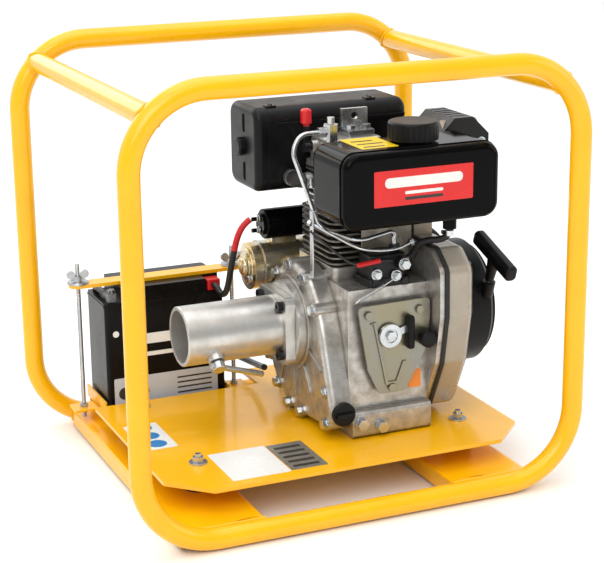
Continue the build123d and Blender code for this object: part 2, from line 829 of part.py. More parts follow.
with BuildPart() as drive_tube:
    with BuildSketch(Plane.YZ.offset(mouth_x)):
        with Locations((0, crank_z)):
            Circle(tube_out_r)
    extrude(amount=flange_right - mouth_x)
    chamfer(drive_tube.faces().sort_by(Axis.X)[0].edges(), 1.0)
    with BuildSketch(Plane.YZ.offset(flange_left)):
        with Locations((0, crank_z)):
            RectangleRounded(2.0 * flange_half, 2.0 * flange_half, 9.0)
    extrude(amount=flange_thick)
    with BuildSketch(Plane((lock_x, 0, crank_z), z_dir=lock_dir)):
        Circle(lock_boss_r)
    extrude(amount=lock_boss_end)
    # the seat for the shaft sleeve ends at a shoulder, ahead of the coupling
    with BuildSketch(Plane.YZ.offset(mouth_x)):
        with Locations((0, crank_z)):
            Circle(tube_in_r)
    extrude(amount=tube_seat_depth, mode=Mode.SUBTRACT)
    with BuildSketch(Plane.YZ.offset(mouth_x)):
        with Locations((0, crank_z)):
            Circle(tube_back_r)
    extrude(amount=flange_right - mouth_x, mode=Mode.SUBTRACT)
    with BuildSketch(Plane((lock_x, 0, crank_z), z_dir=lock_dir)):
        Circle(lock_screw_r + running_gap)
    extrude(amount=lock_boss_end + lock_boss_r, mode=Mode.SUBTRACT)
    with BuildSketch(Plane.YZ.offset(flange_left)):
        with Locations(*screw_points):
            Circle(screw_r + bolt_hole_gap)
    extrude(amount=flange_thick, mode=Mode.SUBTRACT)

with BuildPart() as adapter_ring:
    with BuildSketch(Plane.YZ.offset(flange_right)):
        with Locations((0, crank_z)):
            Circle(adapter_r)
            Circle(tube_in_r - 5.0, mode=Mode.SUBTRACT)
        with Locations(*screw_points):
            Circle(screw_r + bolt_hole_gap, mode=Mode.SUBTRACT)
    extrude(amount=cover_left - 5.0 - flange_right)

with BuildPart() as flange_screws:
    with BuildSketch(Plane.YZ.offset(flange_left)):
        with Locations(*screw_points):
            Circle(screw_head_r)
    extrude(amount=-screw_head_height)
    with BuildSketch(Plane.YZ.offset(flange_left - screw_head_height)):
        with Locations(*screw_points):
            RegularPolygon(3.0, 6, major_radius=False)
    extrude(amount=4.0, mode=Mode.SUBTRACT)
    with BuildSketch(Plane.YZ.offset(flange_left)):
        with Locations(*screw_points):
            Circle(screw_r)
    extrude(amount=flange_thick + 9.0)

# locking screw: the shank moves along its hole, the head and bar turn on it
lock_seat = tube_in_r + 0.3
with BuildPart() as lock_screw:
    with BuildSketch(Plane((lock_x, 0, crank_z), z_dir=lock_dir).offset(lock_seat)):
        Circle(lock_screw_r)
    extrude(amount=lock_head_start - lock_seat)

bar_plane = Plane((lock_x, 0, crank_z), x_dir=(1, 0, 0), z_dir=lock_dir)
with BuildPart() as lock_handle:
    with BuildSketch(bar_plane.offset(lock_head_start + running_gap)):
        Circle(lock_head_r)
    extrude(amount=lock_head_end - lock_head_start)
    chamfer(lock_handle.edges(), 0.8)
    bar_out = bar_plane.x_dir * cos(radians(bar_turn)) - bar_plane.y_dir * sin(radians(bar_turn))
    bar_mid = bar_plane.origin + bar_plane.z_dir * ((lock_head_start + lock_head_end) / 2.0)
    with BuildSketch(Plane(bar_mid - bar_out * bar_tail, z_dir=bar_out)):
        Circle(bar_r)
    extrude(amount=bar_length)

# ---------------------------------------------------------------- fan housing

with BuildPart() as shroud_seal:
    with BuildSketch(Plane.YZ.offset(back_plate_x + back_plate_thick)):
        Polygon(*outline, align=None)
        fillet(vertices(), 14.0)
        offset(amount=seal_proud)
        Polygon(*outline, align=None, mode=Mode.SUBTRACT)
    extrude(amount=seal_thick)

with BuildPart() as fan_shroud:
    with BuildSketch(Plane.YZ.offset(shroud_x)):
        Polygon(*outline, align=None)
        fillet(vertices(), 14.0)
    extrude(amount=shroud_end - shroud_x)
    fillet(fan_shroud.faces().sort_by(Axis.X)[-1].edges(), 12.0)
    with BuildSketch(Plane.XY.offset(crank_z)):
        with Locations(((shroud_x + shroud_end - 12.0) / 2.0, (duct_front + duct_back) / 2.0)):
            Rectangle(shroud_end - 12.0 - shroud_x, duct_back - duct_front)
    extrude(amount=duct_top - crank_z)
    with BuildSketch(Plane.YZ.offset(shroud_x)):
        Polygon(*outline, align=None)
        fillet(vertices(), 14.0)
        offset(amount=-shroud_wall)
    extrude(amount=shroud_end - shroud_wall - shroud_x, mode=Mode.SUBTRACT)
    with BuildSketch(Plane.XY.offset(crank_z)):
        with Locations(((shroud_x + shroud_end - 12.0) / 2.0 - shroud_wall, (duct_front + duct_back) / 2.0)):
            Rectangle(shroud_end - 12.0 - shroud_x, duct_back - duct_front - 2.0 * shroud_wall)
    extrude(amount=duct_top - shroud_wall - crank_z, mode=Mode.SUBTRACT)
    with BuildSketch(Plane.YZ.offset(shroud_x)):
        with Locations((0, crank_z)):
            Circle(intake_r)
    extrude(amount=shroud_end - shroud_x + 5.0, mode=Mode.SUBTRACT)

# ---------------------------------------------------------------- recoil starter
rope_len = sqrt(1.0 - rope_lean * rope_lean)
rope_dir = Vector(0.0, -rope_lean, rope_len)
guide_point = Vector(rope_x, guide_y, guide_z)
rope_arm = abs(guide_y * rope_len + (guide_z - crank_z) * rope_lean)

with BuildPart() as recoil_housing:
    with BuildSketch(Plane.XY.offset(crank_z)):
        Polygon(
            (shroud_end, 70.0),
            (shroud_end, recoil_ring_r),
            (shroud_end + recoil_ring_thick, recoil_ring_r),
            (recoil_cap_x, recoil_r),
            (recoil_end - 9.0, recoil_r),
            (recoil_end, recoil_r - 9.0),
            (recoil_end, 0.0),
            (recoil_end - recoil_wall, 0.0),
            (recoil_end - recoil_wall, recoil_r - 10.0),
            (recoil_end - 10.0, recoil_r - recoil_wall),
            (recoil_cap_x + 1.0, recoil_r - recoil_wall),
            (shroud_end + recoil_wall, recoil_ring_r - 6.0),
            (shroud_end + recoil_wall, 70.0),
            align=None,
        )
    revolve(axis=Axis((0, 0, crank_z), (1, 0, 0)))
    # centre pin that the rope pulley turns on
    with BuildSketch(Plane.YZ.offset(recoil_end - recoil_wall)):
        with Locations((0, crank_z)):
            Circle(9.0)
    extrude(amount=-30.0)
    # air slots through the sloping ring
    with BuildSketch(Plane.YZ.offset(shroud_end + recoil_ring_thick + 1.0)):
        with Locations((0, crank_z)):
            with PolarLocations((recoil_ring_r + recoil_r) / 2.0, 36):
                Rectangle(15.0, 5.0)
    extrude(amount=24.0, mode=Mode.SUBTRACT)
    # boss that guides the rope out
    with BuildSketch(Plane(guide_point - rope_dir * 16.0, z_dir=rope_dir)):
        Circle(9.0)
    extrude(amount=22.0)
    with BuildSketch(Plane.YZ.offset(recoil_cap_x)):
        with Locations((0, crank_z)):
            Circle(recoil_r - recoil_wall)
    extrude(amount=recoil_end - recoil_wall - 30.0 - recoil_cap_x, mode=Mode.SUBTRACT)
    with BuildSketch(Plane.YZ.offset(recoil_end - recoil_wall - 30.0)):
        with Locations((0, crank_z)):
            Circle(recoil_r - recoil_wall - 6.0)
            Circle(12.0, mode=Mode.SUBTRACT)
    extrude(amount=27.0, mode=Mode.SUBTRACT)
    with BuildSketch(Plane(guide_point - rope_dir * 40.0, z_dir=rope_dir)):
        Circle(rope_r + 1.2)
    extrude(amount=60.0, mode=Mode.SUBTRACT)

pulley_x = rope_x - pulley_groove / 2.0 - pulley_flange
with BuildPart() as recoil_pulley:
    with BuildSketch(Plane.YZ.offset(pulley_x)):
        with Locations((0, crank_z)):
            Circle(rope_arm - rope_r - 0.6)
    extrude(amount=pulley_groove + 2.0 * pulley_flange - 1.5)
    with BuildSketch(Plane.YZ.offset(pulley_x)):
        with Locations((0, crank_z)):
            Circle(pulley_flange_r)
    extrude(amount=pulley_flange - 1.0)
    with BuildSketch(Plane.YZ.offset(rope_x + pulley_groove / 2.0)):
        with Locations((0, crank_z)):
            Circle(pulley_flange_r)
    extrude(amount=pulley_flange - 1.5)
    with BuildSketch(Plane.YZ.offset(pulley_x)):
        with Locations((0, crank_z)):
            Circle(24.0)
    extrude(amount=-9.0)
    with BuildSketch(Plane.YZ.offset(pulley_x - 9.0)):
        with Locations((0, crank_z)):
            Circle(9.0 + running_gap)
    extrude(amount=40.0, mode=Mode.SUBTRACT)

bar_axis = Vector(0.0, -rope_len, -rope_lean)
with BuildPart() as pull_handle:
    with BuildSketch(Plane(guide_point + rope_dir * handle_rise - bar_axis * (handle_length / 2.0),
                           x_dir=(1, 0, 0), z_dir=bar_axis)):
        RectangleRounded(handle_thick, handle_width, 7.0)
    extrude(amount=handle_length)
    fillet(pull_handle.edges().filter_by(GeomType.LINE, reverse=True), 4.0)
    with BuildSketch(Plane(guide_point + rope_dir * stem_start, x_dir=(1, 0, 0), z_dir=rope_dir)):
        Circle(6.0)
    extrude(amount=handle_rise - stem_start, taper=-5.0)
    with BuildSketch(Plane(guide_point + rope_dir * stem_start, z_dir=rope_dir)):
        Circle(rope_r)
    extrude(amount=handle_rise - stem_start - 8.0, mode=Mode.SUBTRACT)

with BuildPart() as pull_rope:
    with BuildSketch(Plane(guide_point - rope_dir * rope_below, z_dir=rope_dir)):
        Circle(rope_r)
    extrude(amount=rope_below + handle_rise - 8.0)

# ---------------------------------------------------------------- electric starter
with BuildPart() as starter_motor:
    with BuildSketch(Plane.YZ.offset(starter_left + 17.0)):
        with Locations((starter_y, starter_z)):
            Circle(starter_r)
    extrude(amount=112.0)
    with BuildSketch(Plane.YZ.offset(starter_left + 3.0)):
        with Locations((starter_y, starter_z)):
            Circle(starter_r - 1.5)
    extrude(amount=14.0)
    with BuildSketch(Plane.YZ.offset(starter_left)):
        with Locations((starter_y, starter_z)):
            Circle(starter_r - 9.0)
    extrude(amount=3.0)
    fillet(starter_motor.faces().sort_by(Axis.X)[0].edges(), 1.5)
    with BuildSketch(Plane.YZ.offset(starter_left + 129.0)):
        with Locations((starter_y, starter_z)):
            Circle(starter_r - 6.0)
    extrude(amount=case_right - starter_left - 129.0)
    with BuildSketch(Plane.XY.offset(starter_z + starter_r - 4.0)):
        with Locations((solenoid_left + solenoid_length / 2.0, starter_y - 5.0)):
            Rectangle(36.0, 18.0)
    extrude(amount=12.0)
    with BuildSketch(Plane.YZ.offset(solenoid_left)):
        with Locations((solenoid_y, solenoid_z)):
            Circle(solenoid_r)
    extrude(amount=solenoid_length, mode=Mode.SUBTRACT)
    # drive shaft and pinion inside the fan housing
    with BuildSketch(Plane.YZ.offset(case_right)):
        with Locations((starter_y, starter_z)):
            Circle(6.0)
    extrude(amount=wheel_left - 1.0 - case_right)
    with BuildSketch(Plane.YZ.offset(back_plate_x + back_plate_thick + 1.0)):
        with Locations((starter_y, starter_z)):
            Circle(9.4)
            with PolarLocations(10.0, 11):
                Rectangle(2.6, 2.8)
    extrude(amount=wheel_left - 1.0 - back_plate_x - back_plate_thick - 1.0)

with BuildPart() as starter_solenoid:
    with BuildSketch(Plane.YZ.offset(solenoid_left)):
        with Locations((solenoid_y, solenoid_z)):
            Circle(solenoid_r)
    extrude(amount=solenoid_length)
    fillet(starter_solenoid.edges(), 2.0)
    with BuildSketch(Plane.YZ.offset(solenoid_left)):
        with Locations((solenoid_y, solenoid_z)):
            Circle(solenoid_r - 6.0)
    extrude(amount=-4.0)
    with BuildSketch(Plane.YZ.offset(solenoid_left - 4.0)):
        with Locations((solenoid_y, solenoid_z + 8.0), (solenoid_y, solenoid_z - 8.0)):
            Circle(3.0)
    extrude(amount=-12.0)

# ---------------------------------------------------------------- air cleaner and intake
cleaner_y = (cleaner_front + cleaner_back) / 2.0
cleaner_z = (cleaner_bottom + cleaner_top) / 2.0
cleaner_depth = cleaner_back - cleaner_front
cleaner_height = cleaner_top - cleaner_bottom
element_x = cleaner_joint + 8.0
intake_x = 20.0
intake_z = 382.0
intake_pipe_r = 10.0

with BuildPart() as air_cleaner_housing:
    with BuildSketch(Plane.YZ.offset(cleaner_joint)):
        with Locations((cleaner_y, cleaner_z)):
            RectangleRounded(cleaner_depth, cleaner_height, 18.0)
    extrude(amount=cleaner_right - cleaner_joint)
    fillet(air_cleaner_housing.faces().sort_by(Axis.X)[-1].edges(), 12.0)
    with BuildSketch(Plane.YZ.offset(cleaner_joint)):
        with Locations((cleaner_y, cleaner_z)):
            RectangleRounded(cleaner_depth - 2.0 * cleaner_wall, cleaner_height - 2.0 * cleaner_wall, 15.0)
    extrude(amount=cleaner_right - cleaner_joint - 12.0, mode=Mode.SUBTRACT)
    with BuildSketch(Plane.XZ.offset(-cleaner_front - cleaner_wall)):
        with Locations((intake_x, intake_z)):
            Circle(intake_pipe_r - 2.5)
    extrude(amount=8.0, mode=Mode.SUBTRACT)
    # raised ribs on the front wall
    with BuildSketch(Plane.XZ.offset(-cleaner_front)):
        with BuildLine():
            Polyline((14.0, cleaner_top - 16.0), (44.0, cleaner_bottom + 42.0), (48.0, cleaner_bottom + 42.0),
                     (18.0, cleaner_top - 16.0), (14.0, cleaner_top - 16.0))
        make_face()
    extrude(amount=2.0)
    # long lip along the top front edge
    with BuildSketch(Plane.XY.offset(cleaner_top - 24.0)):
        with Locations((96.0, cleaner_front - 1.0)):
            Rectangle(190.0, 4.0)
    extrude(amount=4.0)

with BuildPart() as air_cleaner_cover:
    with BuildSketch(Plane.YZ.offset(cleaner_left)):
        with Locations((cleaner_y, cleaner_z)):
            RectangleRounded(cleaner_depth, cleaner_height, 18.0)
    extrude(amount=cleaner_joint - 0.3 - cleaner_left)
    fillet(air_cleaner_cover.faces().sort_by(Axis.X)[0].edges(), 9.0)
    with BuildSketch(Plane.YZ.offset(cleaner_joint - 0.3)):
        with Locations((cleaner_y, cleaner_z)):
            RectangleRounded(cleaner_depth - 2.0 * cleaner_wall, cleaner_height - 2.0 * cleaner_wall, 15.0)
    extrude(amount=-(cleaner_joint - cleaner_left - 3.5), mode=Mode.SUBTRACT)
    # two long recesses in the end face, and the hole of the knob's screw
    with BuildSketch(Plane.YZ.offset(cleaner_left)):
        with Locations((cleaner_y - 6.0, cleaner_z + 33.0), (cleaner_y - 6.0, cleaner_z - 33.0)):
            SlotOverall(26.0, 10.0, rotation=90.0)
    extrude(amount=1.8, mode=Mode.SUBTRACT)
    with BuildSketch(Plane.YZ.offset(cleaner_left)):
        with Locations((cleaner_y, cleaner_z)):
            Circle(4.0)
    extrude(amount=8.0, mode=Mode.SUBTRACT)

with BuildPart() as cover_knob:
    with BuildSketch(Plane.YZ.offset(cleaner_left - 0.3)):
        with Locations((cleaner_y, cleaner_z)):
            RegularPolygon(13.0, 8)
    extrude(amount=-9.0)
    fillet(cover_knob.faces().sort_by(Axis.X)[0].edges(), 3.0)
    with BuildSketch(Plane.YZ.offset(cleaner_left - 0.3)):
        with Locations((cleaner_y, cleaner_z)):
            Circle(4.0 - running_gap)
    extrude(amount=element_x - cleaner_left - 6.0)

with BuildPart() as filter_element:
    with BuildSketch(Plane.YZ.offset(element_x)):
        with Locations((cleaner_y, cleaner_z)):
            Circle(element_r)
            Circle(element_r - 16.0, mode=Mode.SUBTRACT)
    extrude(amount=130.0)
    with BuildSketch(Plane.YZ.offset(element_x)):
        with Locations((cleaner_y, cleaner_z)):
            Circle(element_r + 2.0)
            Circle(9.0, mode=Mode.SUBTRACT)
    extrude(amount=-2.0)

intake_mid_y = 6.0
with BuildPart() as intake_elbow:
    with BuildLine() as intake_path:
        FilletPolyline(
            (cylinder_x - fin_half_x, intake_mid_y, intake_z),
            (intake_x, intake_mid_y, intake_z),
            (intake_x, cleaner_front, intake_z),
            radius=14.0,
        )
    with BuildSketch(Plane(intake_path.line @ 0, z_dir=intake_path.line % 0)):
        Circle(intake_pipe_r)
        Circle(intake_pipe_r - 2.5, mode=Mode.SUBTRACT)
    sweep()

# ---------------------------------------------------------------- exhaust
muffler_x = (muffler_left + muffler_right) / 2.0
muffler_y = (muffler_front + muffler_back) / 2.0
muffler_z = (muffler_bottom + muffler_top) / 2.0
muffler_half = (muffler_right - muffler_left) / 2.0
muffler_rise = muffler_top - muffler_bottom
exhaust_y = 0.0
exhaust_z = 376.0
with BuildPart() as muffler:
    with BuildSketch(Plane.XZ.offset(-muffler_back)):
        with Locations((muffler_x, muffler_z)):
            Rectangle(muffler_right - muffler_left, muffler_top - muffler_bottom)
    extrude(amount=muffler_back - muffler_front)
    chamfer(muffler.edges().filter_by(Axis.Y).group_by(Axis.Z)[-1], 22.0)
    fillet(muffler.faces().sort_by(Axis.Y)[0].edges(), 5.0)
    with BuildSketch(Plane.XZ.offset(-muffler_back)):
        with Locations((muffler_x, muffler_z - 22.0)):
            Circle(13.0)
            Circle(11.0, mode=Mode.SUBTRACT)
    extrude(amount=-26.0)
    # inlet pipe with its two flanges
    with BuildSketch(Plane.YZ.offset(cylinder_x + fin_half_x)):
        with Locations((exhaust_y, exhaust_z)):
            Circle(14.0)
            Circle(11.5, mode=Mode.SUBTRACT)
    extrude(amount=muffler_left - cylinder_x - fin_half_x)
    for flange_x in (cylinder_x + fin_half_x, muffler_left - 5.0):
        with BuildSketch(Plane.YZ.offset(flange_x)):
            with Locations((exhaust_y, exhaust_z)):
                SlotOverall(56.0, 32.0, rotation=90.0)
                Circle(11.5, mode=Mode.SUBTRACT)
        extrude(amount=5.0)

with BuildPart() as muffler_guard:
    with BuildSketch(Plane.XZ.offset(-muffler_back)):
        with Locations((muffler_x, muffler_z)):
            Rectangle(
                muffler_right - muffler_left + 2.0 * (guard_gap + guard_sheet),
                muffler_top - muffler_bottom + 2.0 * (guard_gap + guard_sheet),
            )
    extrude(amount=muffler_back - muffler_front + guard_gap + guard_sheet)
    chamfer(muffler_guard.edges().filter_by(Axis.Y).group_by(Axis.Z)[-1], 24.0)
    with BuildSketch(Plane.XZ.offset(-muffler_back)):
        with Locations((muffler_x, muffler_z)):
            Polygon(
                (-muffler_half - guard_gap, -muffler_rise),
                (muffler_half + guard_gap, -muffler_rise),
                (muffler_half + guard_gap, muffler_rise / 2.0 - 20.0),
                (muffler_half - 20.0, muffler_rise / 2.0 + guard_gap),
                (-muffler_half + 20.0, muffler_rise / 2.0 + guard_gap),
                (-muffler_half - guard_gap, muffler_rise / 2.0 - 20.0),
                align=None,
            )
    extrude(amount=muffler_back - muffler_front + guard_gap, mode=Mode.SUBTRACT)
    # the side towards the cylinder is open for the pipe
    with BuildSketch(Plane.YZ.offset(muffler_left)):
        with Locations((muffler_y, muffler_z - 24.0)):
            Rectangle(2.0 * (muffler_back - muffler_front), muffler_top - muffler_bottom)
    extrude(amount=-20.0, mode=Mode.SUBTRACT)
    # rows of air slots in the top and the outer side
    with BuildSketch(Plane.XY.offset(muffler_top)):
        with Locations((muffler_x, muffler_y)):
            with GridLocations(1.0, 14.0, 1, 5):
                SlotOverall(28.0, 5.0)
    extrude(amount=20.0, mode=Mode.SUBTRACT)
    with BuildSketch(Plane.YZ.offset(muffler_right)):
        with Locations((muffler_y, muffler_z)):
            with GridLocations(14.0, 1.0, 5, 1):
                SlotOverall(50.0, 5.0, rotation=90.0)
    extrude(amount=20.0, mode=Mode.SUBTRACT)

# ---------------------------------------------------------------- fuel system
pump_left = 66.0
pump_right = 126.0
pump_front = -110.0
pump_back = -64.0
pump_top = 300.0
pipe_r = 3.0
outlet_x = 175.0
outlet_y = -125.0
outlet_z = 330.0
hose_r = 4.5
plunger_x = 112.0
plunger_z = 288.0

with BuildPart() as injection_pump:
    with BuildSketch(Plane.XY.offset(case_shelf)):
        with Locations(((pump_left + pump_right) / 2.0, (pump_front + pump_back) / 2.0)):
            RectangleRounded(pump_right - pump_left, pump_back - pump_front, 5.0)
    extrude(amount=10.0)
    with BuildSketch(Plane.XY.offset(case_shelf + 10.0)):
        with Locations(((pump_left + pump_right) / 2.0, (pump_front + pump_back) / 2.0)):
            RectangleRounded(pump_right - pump_left - 8.0, pump_back - pump_front - 6.0, 6.0)
    extrude(amount=pump_top - case_shelf - 10.0)
    fillet(injection_pump.faces().sort_by(Axis.Z)[-1].edges(), 4.0)
    with BuildSketch(Plane.XZ.offset(-pump_front - 3.0)):
        with Locations((plunger_x, plunger_z)):
            Circle(9.0)
    extrude(amount=13.0)
    with BuildSketch(Plane.XZ.offset(-pump_front)):
        with Locations((pump_left + 9.0, case_shelf + 5.0), (pump_right - 9.0, case_shelf + 5.0)):
            RegularPolygon(5.0, 6, major_radius=False)
    extrude(amount=4.0)
    with BuildSketch(Plane.XY.offset(pump_top)):
        with Locations((plunger_x, -90.0)):
            RegularPolygon(7.0, 6, major_radius=False)
    extrude(amount=8.0)

pipe_route = [
    (plunger_x, -90.0, pump_top + 8.0),
    (plunger_x, -90.0, pump_top + 26.0),
    (60.0, -94.0, 318.0),
    (24.0, -50.0, 328.0),
    (6.0, -36.0, 392.0),
    (-6.0, -30.0, 430.0),
    (8.0, injector_y, rocker_top + 11.0),
    (injector_x - 18.0, injector_y, rocker_top + 11.0),
]
with BuildPart() as injection_pipe:
    with BuildLine() as pipe_path:
        FilletPolyline(*pipe_route, radius=arc_radii(pipe_route, 25.0))
    with BuildSketch(Plane(pipe_path.line @ 0, z_dir=pipe_path.line % 0)):
        Circle(pipe_r)
    sweep()

with BuildPart() as fuel_tank:
    with BuildSketch(Plane.XZ.offset(-tank_back)):
        with Locations(((tank_left + tank_right) / 2.0, (tank_bottom + tank_top) / 2.0)):
            RectangleRounded(tank_right - tank_left, tank_top - tank_bottom, tank_round)
    extrude(amount=tank_back - tank_front)
    fillet(fuel_tank.faces().sort_by(Axis.Y)[0].edges(), 9.0)
    fillet(fuel_tank.faces().sort_by(Axis.Y)[-1].edges(), 12.0)
    # welded seam between the front panel and the body
    with BuildSketch(Plane.XZ.offset(-tank_front - 13.0)):
        with Locations(((tank_left + tank_right) / 2.0, (tank_bottom + tank_top) / 2.0)):
            RectangleRounded(tank_right - tank_left + 3.0, tank_top - tank_bottom + 3.0, tank_round + 1.5)
    extrude(amount=-2.5)
    with BuildSketch(Plane.XY.offset(tank_top - 1.0)):
        with Locations((neck_x, neck_y)):
            Circle(neck_r)
    extrude(amount=neck_height - 4.0)
    with BuildSketch(Plane.XY.offset(tank_bottom + 1.0)):
        with Locations((outlet_x, outlet_y)):
            Circle(9.0)
    extrude(amount=outlet_z - tank_bottom - 1.0)
    with BuildSketch(Plane.XY.offset(tank_top + neck_height)):
        with Locations((neck_x, neck_y)):
            Circle(neck_bore_r)
    extrude(amount=-neck_depth, mode=Mode.SUBTRACT)

with BuildPart() as fuel_cap:
    with BuildSketch(Plane.XY.offset(tank_top + neck_height - 4.5)):
        with Locations((neck_x, neck_y)):
            Circle(cap_r)
    extrude(amount=cap_top - tank_top - neck_height + 4.5)
    fillet(fuel_cap.faces().sort_by(Axis.Z)[-1].edges(), 4.0)
    with BuildSketch(Plane.XY.offset(tank_top + 4.5)):
        with Locations((neck_x, neck_y)):
            with PolarLocations(cap_r + 0.6, 28):
                Circle(1.6)
    extrude(amount=cap_top - tank_top - 10.0, mode=Mode.SUBTRACT)
    with BuildSketch(Plane.XY.offset(tank_top + neck_height - 5.0)):
        with Locations((neck_x, neck_y)):
            Circle(neck_bore_r - 2.0)
    extrude(amount=-8.0)

with BuildPart() as tank_bracket:
    with BuildSketch(Plane.XY.offset(tank_bottom)):
        with Locations((92.0, head_front - 4.0)):
            Rectangle(60.0, 88.0, align=(Align.CENTER, Align.MAX))
    extrude(amount=-sheet)
    with BuildSketch(Plane.XZ.offset(-head_front)):
        with Locations((92.0, tank_bottom - sheet)):
            Rectangle(60.0, 40.0, align=(Align.CENTER, Align.MIN))
    extrude(amount=2.5)
    with BuildSketch(Plane.XY.offset(tank_bottom)):
        with Locations((92.0, head_front - 4.0)):
            Rectangle(60.0, 8.0)
    extrude(amount=-sheet)

hose_route = [
    (outlet_x, outlet_y, outlet_z),
    (outlet_x, outlet_y, outlet_z - 15.0),
    (pump_right + 16.0, outlet_y + 24.0, outlet_z - 18.0),
    (pump_right + 13.0, (pump_front + pump_back) / 2.0, plunger_z - 4.0),
    (pump_right - 4.0, (pump_front + pump_back) / 2.0, plunger_z - 4.0),
]
with BuildPart() as fuel_hose:
    with BuildLine() as hose_path:
        FilletPolyline(*hose_route, radius=arc_radii(hose_route, 20.0))
    with BuildSketch(Plane(hose_path.line @ 0, z_dir=hose_path.line % 0)):
        Circle(hose_r)
    sweep()

# ---------------------------------------------------------------- speed and stop controls
lever_plate_back = case_y + 9.0
lever_plate_thick = 3.0
lever_plate_front = lever_plate_back + lever_plate_thick
speed_x = 88.0
speed_z = 196.0
speed_pin_r = 4.0
disc_r = 16.5
stop_x = 138.0
stop_z = 188.0
stop_stem_r = 4.0
stop_knob_r = 11.5

with BuildPart() as lever_plate:
    with BuildSketch(Plane.XZ.offset(lever_plate_back)):
        Polygon(
            (43.0, 238.0),
            (148.0, 240.0),
            (148.0, 214.0),
            (142.0, 170.0),
            (112.0, 116.0),
            (74.0, 116.0),
            (58.0, 150.0),
            align=None,
        )
        fillet(vertices(), 7.0)
    extrude(amount=lever_plate_thick)
    # pressed ribs down the plate
    with BuildSketch(Plane.XZ.offset(lever_plate_front)):
        with BuildLine():
            Polyline((60.0, 214.0), (65.0, 214.0), (83.0, 128.0), (101.0, 128.0), (113.0, 158.0), (108.0, 158.0),
                     (98.0, 132.0), (86.0, 132.0), (68.0, 216.0), (60.0, 214.0))
        make_face()
    extrude(amount=2.0)
    with BuildSketch(Plane.XZ.offset(lever_plate_back)):
        with Locations((speed_x, speed_z)):
            Circle(speed_pin_r + running_gap)
        with Locations((stop_x, stop_z)):
            Circle(stop_stem_r + running_gap)
    extrude(amount=lever_plate_thick + 5.0, mode=Mode.SUBTRACT)
    with BuildSketch(Plane.XZ.offset(lever_plate_front)):
        with Locations((58.0, 226.0), (132.0, 226.0), (92.0, 124.0)):
            RegularPolygon(5.0, 6, major_radius=False)
    extrude(amount=4.0)

# dished disc, spring washer stack and short arm with an upright grip
with BuildPart() as speed_lever:
    with BuildSketch(Plane.XZ.offset(lever_plate_front + 2.5)):
        with Locations((speed_x, speed_z)):
            Circle(disc_r)
    extrude(amount=4.0, taper=12.0)
    with BuildSketch(Plane.XZ.offset(lever_plate_front + 6.5)):
        with Locations((speed_x, speed_z)):
            Circle(disc_r - 7.0)
    extrude(amount=-1.5, mode=Mode.SUBTRACT)
    with BuildSketch(Plane.XZ.offset(lever_plate_front + 4.0)):
        with Locations((speed_x, speed_z)):
            RegularPolygon(6.0, 6, major_radius=False)
    extrude(amount=6.0)
    with BuildSketch(Plane.XZ.offset(case_y + 1.0)):
        with Locations((speed_x, speed_z)):
            Circle(speed_pin_r)
    extrude(amount=lever_plate_front - case_y + 3.0)
    with BuildSketch(Plane.XZ.offset(lever_plate_front + 2.5)):
        with Locations((speed_x + 14.0, speed_z + 4.0)):
            Rectangle(24.0, 9.0, rotation=16.0)
    extrude(amount=2.5)
    with BuildSketch(Plane.XY.offset(speed_z - 16.0)):
        with Locations((speed_x + 27.5, -lever_plate_front - 7.0)):
            RectangleRounded(8.0, 12.0, 3.0)
    extrude(amount=38.0)
    fillet(speed_lever.faces().sort_by(Axis.Z)[-1].edges(), 2.5)

with BuildPart() as stop_knob:
    with BuildSketch(Plane.XZ.offset(case_y + 1.0)):
        with Locations((stop_x, stop_z)):
            Circle(stop_stem_r)
    extrude(amount=lever_plate_front - case_y + 6.0)
    with BuildSketch(Plane.XZ.offset(lever_plate_front + 6.0)):
        with Locations((stop_x, stop_z)):
            Circle(stop_knob_r)
    extrude(amount=14.0)
    fillet(stop_knob.faces().sort_by(Axis.Y)[0].edges(), 3.5)

# ---------------------------------------------------------------- oil plugs
with BuildPart() as oil_filler_plug:
    with BuildSketch(Plane.XZ.offset(-plug_y + 3.3)):
        with Locations((plug_x, plug_z)):
            Circle(plug_r)
    extrude(amount=7.0)
    fillet(oil_filler_plug.faces().sort_by(Axis.Y)[0].edges(), 2.0)
    with BuildSketch(Plane.XZ.offset(-plug_y + 10.3)):
        with Locations((plug_x, plug_z)):
            Rectangle(24.0, 6.0)
    extrude(amount=5.0)
    with BuildSketch(Plane.XZ.offset(-plug_y + 3.3)):
        with Locations((plug_x, plug_z)):
            Circle(plug_stem_r)
    extrude(amount=-9.0)

# ---------------------------------------------------------------- battery and its holder
battery_right = battery_left + battery_length
battery_back = battery_front + battery_depth
battery_top = battery_bottom + battery_height
battery_x = (battery_left + battery_right) / 2.0
battery_y = (battery_front + battery_back) / 2.0
notch_floor = battery_top - notch_height
terminal_y = battery_front + 11.0
left_terminal_x = battery_left + 13.0
right_terminal_x = battery_right - 13.0

